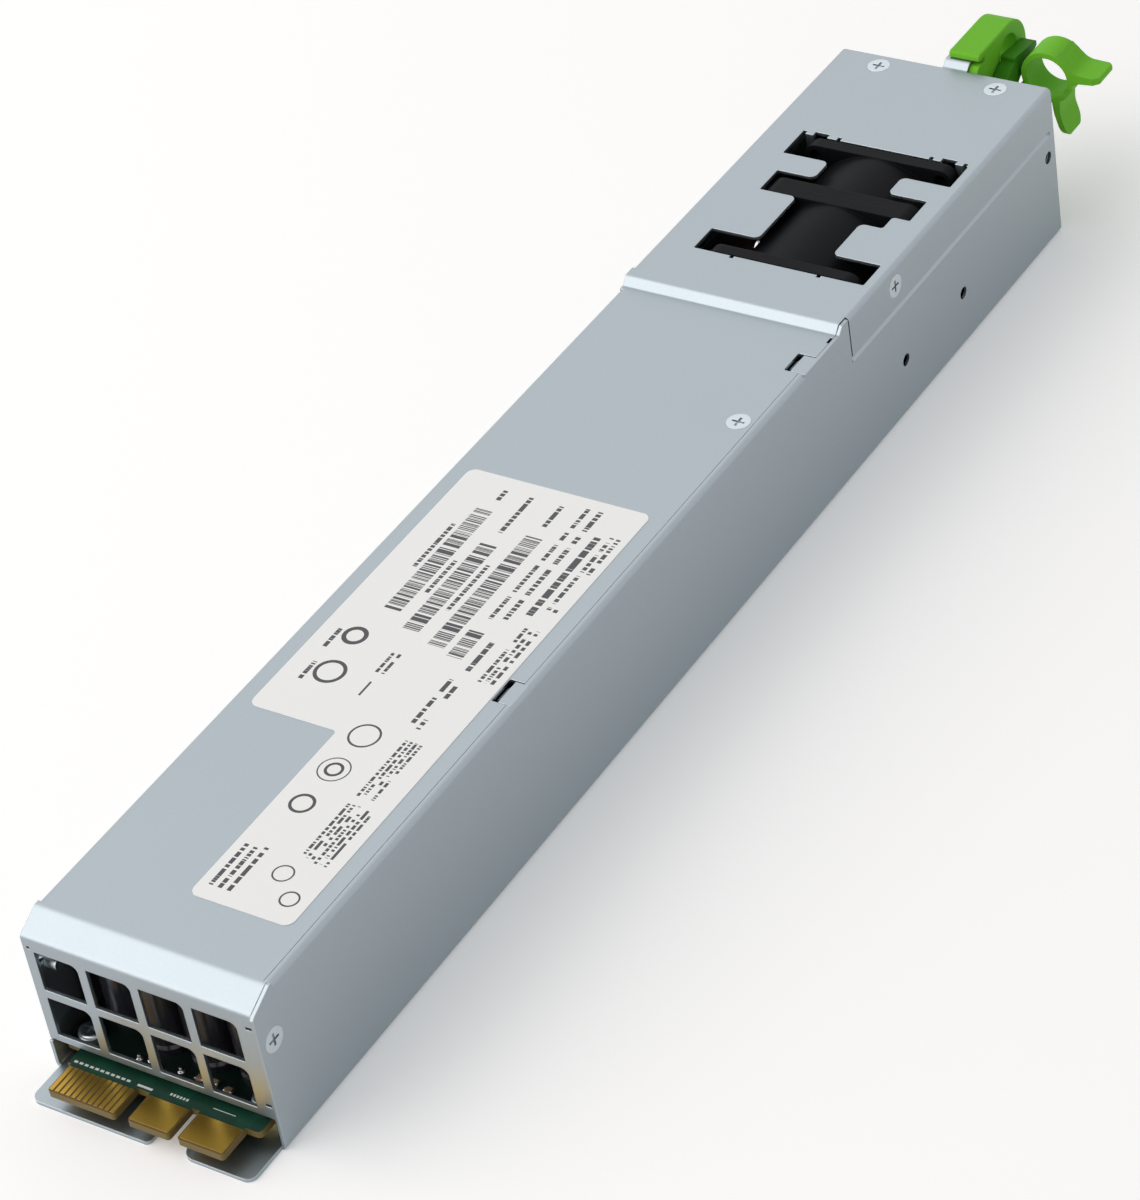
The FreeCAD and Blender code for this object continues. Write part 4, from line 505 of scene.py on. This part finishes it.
# painted shade: behind the grille the board turns nearly black, standing for the shade inside the case
shaded_inside = mix_colours(tree, math_node(tree, "GREATER_THAN", along, PAINTED_SHADE_Y * MM), green, INSIDE_PAINTED_SHADE)
face = mix_colours(tree, math_node(tree, "LESS_THAN", along, TAB_ROOT_Y * MM), shaded_inside, TAB_BOARD)
tree.links.new(mix_colours(tree, facing(tree, "Z"), FIBRE_BOARD, face), shader["Base Color"])
worn = use_group(tree, handling_group, Scale=40.0, Low=0.4, High=0.52)
tree.links.new(worn["Roughness"], shader["Roughness"])
relief = add_node(tree, "ShaderNodeBump", {"Height": copper, "Strength": 0.12, "Distance": 0.04 * MM})
tree.links.new(relief.outputs[0], shader["Normal"])
print("board print:", len(BOARD_DASHES))

# %% [markdown]
# ## The rating label
# The label is a white film with dark print. No words are set here: rows of short strokes stand for
# small print, bands of thin bars for a scanner strip, and plain rings for approval marks. A second
# group draws a ring, so the layout of the whole label is two short tables.

# %% Ring group
ring_group, ring_in, ring_out = new_group(
    "printed_ring", {"X": 0.0, "Y": 0.0, "Radius": 2.5, "Line": 0.2}, {"Ink": "Float"})


def in_ring(operation, first, second=0.0):
    """One sum inside the ring group."""
    return math_node(ring_group, operation, first, second)


place = add_node(ring_group, "ShaderNodeTexCoord").outputs["Object"]
axes = add_node(ring_group, "ShaderNodeSeparateXYZ", {0: place}).outputs
from_x = in_ring("SUBTRACT", in_ring("MULTIPLY", axes["X"], 1 / MM), ring_in["X"])
from_y = in_ring("SUBTRACT", in_ring("MULTIPLY", axes["Y"], 1 / MM), ring_in["Y"])
squares = in_ring("ADD", in_ring("MULTIPLY", from_x, from_x), in_ring("MULTIPLY", from_y, from_y))
off_line = in_ring("ABSOLUTE", in_ring("SUBTRACT", in_ring("SQRT", squares), ring_in["Radius"]))
ring_group.links.new(in_ring("LESS_THAN", off_line, ring_in["Line"]), ring_out["Ink"])
print("ring group sockets:", len(ring_group.interface.items_tree))

# %% [markdown]
# The table gives each block of print in millimetres: its middle, its half width across the case and
# half length along it, the pitch of its rows and how much of each row is ink. A block with one full row
# and no gaps between words turns into a band of bars.

# %% Label layout
#    X      Y    half w half l pitch fill  word  stroke strokes/mm cells
PRINTED_ROWS = (
    (-12.2, 123.4, 2.0, 17.4, 4.0, 1.0, 0.0, 0.47, 3.6, 0.86),
    (-5.0, 116.6, 2.0, 14.6, 4.0, 1.0, 0.0, 0.47, 3.6, 0.86),
    (2.6, 118.2, 2.0, 18.6, 4.0, 1.0, 0.0, 0.46, 3.6, 0.86),
    (8.0, 102.3, 1.8, 4.3, 3.6, 1.0, 0.0, 0.47, 3.6, 0.86),
    (-11.4, 146.3, 0.55, 1.7, 1.1, 1.0, 0.0, 0.42, 1.6, 1.0),
    (-5.0, 141.7, 0.55, 6.2, 1.1, 1.0, 0.3, 0.42, 1.6, 1.0),
    (2.5, 144.1, 0.55, 3.6, 1.1, 1.0, 0.0, 0.42, 1.6, 1.0),
    (-15.7, 127.0, 0.5, 7.5, 1.0, 1.0, 0.0, 0.44, 1.8, 1.0),
    (-8.6, 118.7, 0.5, 5.5, 1.0, 1.0, 0.0, 0.44, 1.8, 1.0),
    (-1.4, 117.7, 0.5, 7.7, 1.0, 1.0, 0.0, 0.44, 1.8, 1.0),
    (8.2, 130.0, 0.5, 19.0, 1.0, 1.0, 0.42, 0.44, 1.8, 1.0),
    (11.2, 130.5, 0.6, 18.5, 1.2, 1.0, 0.42, 0.44, 1.6, 1.0),
    (15.0, 128.0, 0.8, 13.5, 1.6, 1.0, 0.3, 0.43, 1.2, 1.0),
    (18.9, 130.0, 1.6, 12.5, 1.6, 0.62, 0.4, 0.45, 1.4, 1.0),
    (18.5, 102.4, 2.1, 8.8, 1.4, 0.6, 0.42, 0.45, 1.5, 1.0),
    (12.8, 100.5, 0.6, 5.0, 1.2, 1.0, 0.3, 0.43, 1.6, 1.0),
    (12.8, 84.5, 2.0, 7.6, 2.0, 0.52, 0.44, 0.43, 1.4, 1.0),
    (-3.0, 91.5, 1.5, 3.2, 1.5, 0.5, 0.2, 0.44, 1.8, 1.0),
    (-3.4, 83.2, 0.25, 2.2, 0.5, 1.0, -1.0, -1.0, 1.0, 1.0),
    (-18.6, 94.0, 0.5, 3.0, 1.0, 1.0, 0.0, 0.43, 1.6, 1.0),
    (-17.6, 83.6, 0.5, 2.8, 1.0, 1.0, 0.0, 0.43, 1.6, 1.0),
    (15.2, 64.6, 2.3, 8.6, 1.15, 0.6, 0.34, 0.46, 1.6, 1.0),
    (15.9, 45.2, 3.2, 8.4, 1.15, 0.6, 0.34, 0.46, 1.6, 1.0),
    (3.8, 30.5, 3.1, 6.4, 2.1, 0.46, 0.32, 0.43, 1.6, 1.0),
)
#      X     Y    radius line
PRINTED_RINGS = (
    (-14.6, 96.2, 2.3, 0.5),
    (-13.0, 84.9, 3.1, 0.42),
    (4.6, 71.2, 3.2, 0.24),
    (4.6, 60.6, 3.3, 0.15),
    (4.6, 60.6, 1.7, 0.32),
    (4.4, 50.0, 2.4, 0.34),
    (12.4, 32.2, 2.1, 0.18),
    (17.6, 26.8, 1.9, 0.2),
)
LABEL_WHITE = (0.95, 0.96, 0.95, 1)
PRINT_DARK = (0.055, 0.055, 0.065, 1)

rating_print, tree, shader = new_material("rating_print")
RING_NUMBERS = ("X", "Y", "Radius", "Line")
ink = math_node(tree, "MAXIMUM", printed(tree, PRINTED_ROWS, ROW_NUMBERS, rows_group),
                printed(tree, PRINTED_RINGS, RING_NUMBERS, ring_group))
paper_grain = use_group(tree, grain_group, Scale=900.0)
tree.links.new(mix_colours(tree, ink, LABEL_WHITE, PRINT_DARK), shader["Base Color"])
worn = use_group(tree, handling_group, Scale=18.0, Low=0.34, High=0.46)
tree.links.new(worn["Roughness"], shader["Roughness"])
bump = add_node(tree, "ShaderNodeBump",
                {"Height": paper_grain["Height"], "Strength": 0.03, "Distance": BUMP_DEPTH})
tree.links.new(bump.outputs[0], shader["Normal"])
print("blocks of print:", len(PRINTED_ROWS), "rings:", len(PRINTED_RINGS))

# %% [markdown]
# ## Give every part its finish
# The record of the part names a material slot for each node, so the plain finishes are matched by
# that name. The parts with two finishes, the boards and the label come after, by their own names.

# %% Assign
SLOT_OF = {part["node"]: part["material_slot"] for part in frame["record"]["subparts"]}


def dress(node, finish):
    """Put one material on the whole of a node."""
    slots = NODES[node].data.materials
    slots.clear()
    slots.append(finish)


for node, slot in SLOT_OF.items():
    if slot in FINISHES:
        dress(node, FINISHES[slot])
for node, leg_top in LEG_TOPS.items():
    dress(node, legged_finish(node + "_finish", leg_top * MM))
dress("output_capacitors", capacitor_finish("upright_can", "Z"))
dress("bulk_capacitor", capacitor_finish("lying_can", "Y"))
# painted shade: the release lever is the same green plastic, darkened here to stand for the shade under the
# pull loop
dress("release_lever", plain_finish("lever_green_painted_shade", (0.05, 0.24, 0.01), 0.0, (0.46, 0.58), depth=0.05,
                                    edge=0.35, edge_highlight=0.05, specular=0.1))
dress("main_board", solder_mask)
dress("control_board", solder_mask)
dress("rating_label", rating_print)
undressed = [node for node in NODES if not NODES[node].data.materials]
print("nodes without a finish:", undressed)

# %% [markdown]
# ## Small modelling steps
# The last pieces are modelled by hand, in steps that repeat: pick some faces in edit mode, round and
# place a finished piece, and copy a piece. Each step is a short function. The place of a piece is
# put into its mesh, so that the object itself stays at the origin and turns with its body.

# %% Modelling helpers
GRILLE_PARTS_ROW = 4.3 * MM         # how far behind the front edge the small parts stand


def pick_faces(piece, wanted):
    """Go to edit mode with only the wanted faces selected."""
    bpy.ops.object.mode_set(mode="EDIT")
    bpy.ops.mesh.select_mode(type="FACE")
    bpy.ops.mesh.select_all(action="DESELECT")
    bpy.ops.object.mode_set(mode="OBJECT")
    for face in piece.data.polygons:
        face.select = wanted(face)
    bpy.ops.object.mode_set(mode="EDIT")


def finish_piece(piece, name, bevel):
    """Round the edges, put the place into the mesh, and let the piece ride on the case."""
    bpy.ops.object.mode_set(mode="OBJECT")
    piece.name = name
    rounding = piece.modifiers.new("rounding", "BEVEL")
    rounding.width = bevel
    rounding.segments = 2
    bpy.ops.object.modifier_apply(modifier="rounding")
    bpy.ops.object.shade_smooth_by_angle(angle=math.radians(40))
    bpy.ops.object.transform_apply(location=True, rotation=True, scale=True)
    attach(piece, "case")


def copy_piece(piece, name, shift):
    """A copy with its own mesh, moved by a shift that ends up in the mesh."""
    bpy.ops.object.select_all(action="DESELECT")
    piece.select_set(True)
    bpy.context.view_layer.objects.active = piece
    bpy.ops.object.duplicate()
    twin = bpy.context.object
    twin.name = name
    bpy.ops.transform.translate(value=shift)
    bpy.ops.object.transform_apply(location=True)
    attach(twin, "case")
    return twin


print("row of small parts in mm:", round(GRILLE_PARTS_ROW / MM, 1))

# %% [markdown]
# ## Solder joints behind the grille
# The pins of the power contacts come up through the board and are soldered there: a shiny cone of
# solder round each pin, with the end of the pin standing out of it. A cone is added at its size, its
# top is drawn up into the pin, and a small bevel keeps the rim from looking cut. One joint is modelled
# and the others are copies, each with its own mesh.

# %% Solder joints
SOLDER_SPOTS = (-9.0, -6.6, -4.2, 0.6)      # across the case, in mm
FOOT_RADIUS, PIN_RADIUS = 0.85 * MM, 0.38 * MM
CONE_HEIGHT, PIN_HEIGHT = 0.4 * MM, 0.6 * MM
SIDE_STEP = 0.5 * MM                        # every second joint stands this much further back
solder = plain_finish("solder", (0.72, 0.72, 0.7), 1.0, (0.16, 0.28), 900.0, 0.12)
bpy.ops.object.select_all(action="DESELECT")
bpy.ops.mesh.primitive_cone_add(
    vertices=20, radius1=FOOT_RADIUS, radius2=PIN_RADIUS, depth=CONE_HEIGHT,
    location=(SOLDER_SPOTS[0] * MM, GRILLE_PARTS_ROW, BOARD_TOP + CONE_HEIGHT / 2))
joint = bpy.context.object
pick_faces(joint, lambda face: face.normal.z > 0.9)
bpy.ops.mesh.extrude_region_move(TRANSFORM_OT_translate={"value": (0, 0, PIN_HEIGHT)})
finish_piece(joint, "solder_joint_1", 0.08 * MM)
joint.data.materials.append(solder)
for number, x in enumerate(SOLDER_SPOTS[1:], start=2):
    shift = ((x - SOLDER_SPOTS[0]) * MM, SIDE_STEP if number % 2 == 0 else 0.0, 0)
    copy_piece(joint, "solder_joint_" + str(number), shift)
print("solder joints:", len(SOLDER_SPOTS), "faces each:", len(joint.data.polygons))

# %% [markdown]
# ## Chip parts behind the grille
# A chip capacitor is a small ceramic block whose two ends are dipped in tin. A cube is added at the
# size of the block, and its two ends are drawn out along their normals, which keeps the ends as faces
# of their own, so they can take the second material.

# %% Chip parts
CHIP_SPOTS = ((5.4, 0.2), (8.6, 0.4), (12.4, -0.2), (19.6, 0.6))     # across the case, behind the row, in mm
CHIP_BODY, CHIP_END = (1.3, 1.3, 0.8), 0.4
chip_ceramic = plain_finish("chip_ceramic", (0.3, 0.19, 0.1), 0.0, (0.4, 0.5), 900.0, 0.05)
bpy.ops.object.select_all(action="DESELECT")
start = Vector((CHIP_SPOTS[0][0] * MM, GRILLE_PARTS_ROW + CHIP_SPOTS[0][1] * MM,
                BOARD_TOP + CHIP_BODY[2] / 2 * MM))
bpy.ops.mesh.primitive_cube_add(size=1, location=start, scale=[side * MM for side in CHIP_BODY])
bpy.ops.object.transform_apply(location=True, scale=True)
chip = bpy.context.object
pick_faces(chip, lambda face: abs(face.normal.x) > 0.9)
bpy.ops.mesh.extrude_faces_move(TRANSFORM_OT_shrink_fatten={"value": CHIP_END * MM})
finish_piece(chip, "chip_part_1", 0.1 * MM)
chip.data.materials.append(chip_ceramic)
chip.data.materials.append(solder)
for face in chip.data.polygons:
    face.material_index = int(abs(face.center.x - start.x) > CHIP_BODY[0] / 2 * MM)
for number, (x, y) in enumerate(CHIP_SPOTS[1:], start=2):
    shift = ((x - CHIP_SPOTS[0][0]) * MM, (y - CHIP_SPOTS[0][1]) * MM, 0)
    copy_piece(chip, "chip_part_" + str(number), shift)
print("chip parts:", len(CHIP_SPOTS), "faces each:", len(chip.data.polygons))
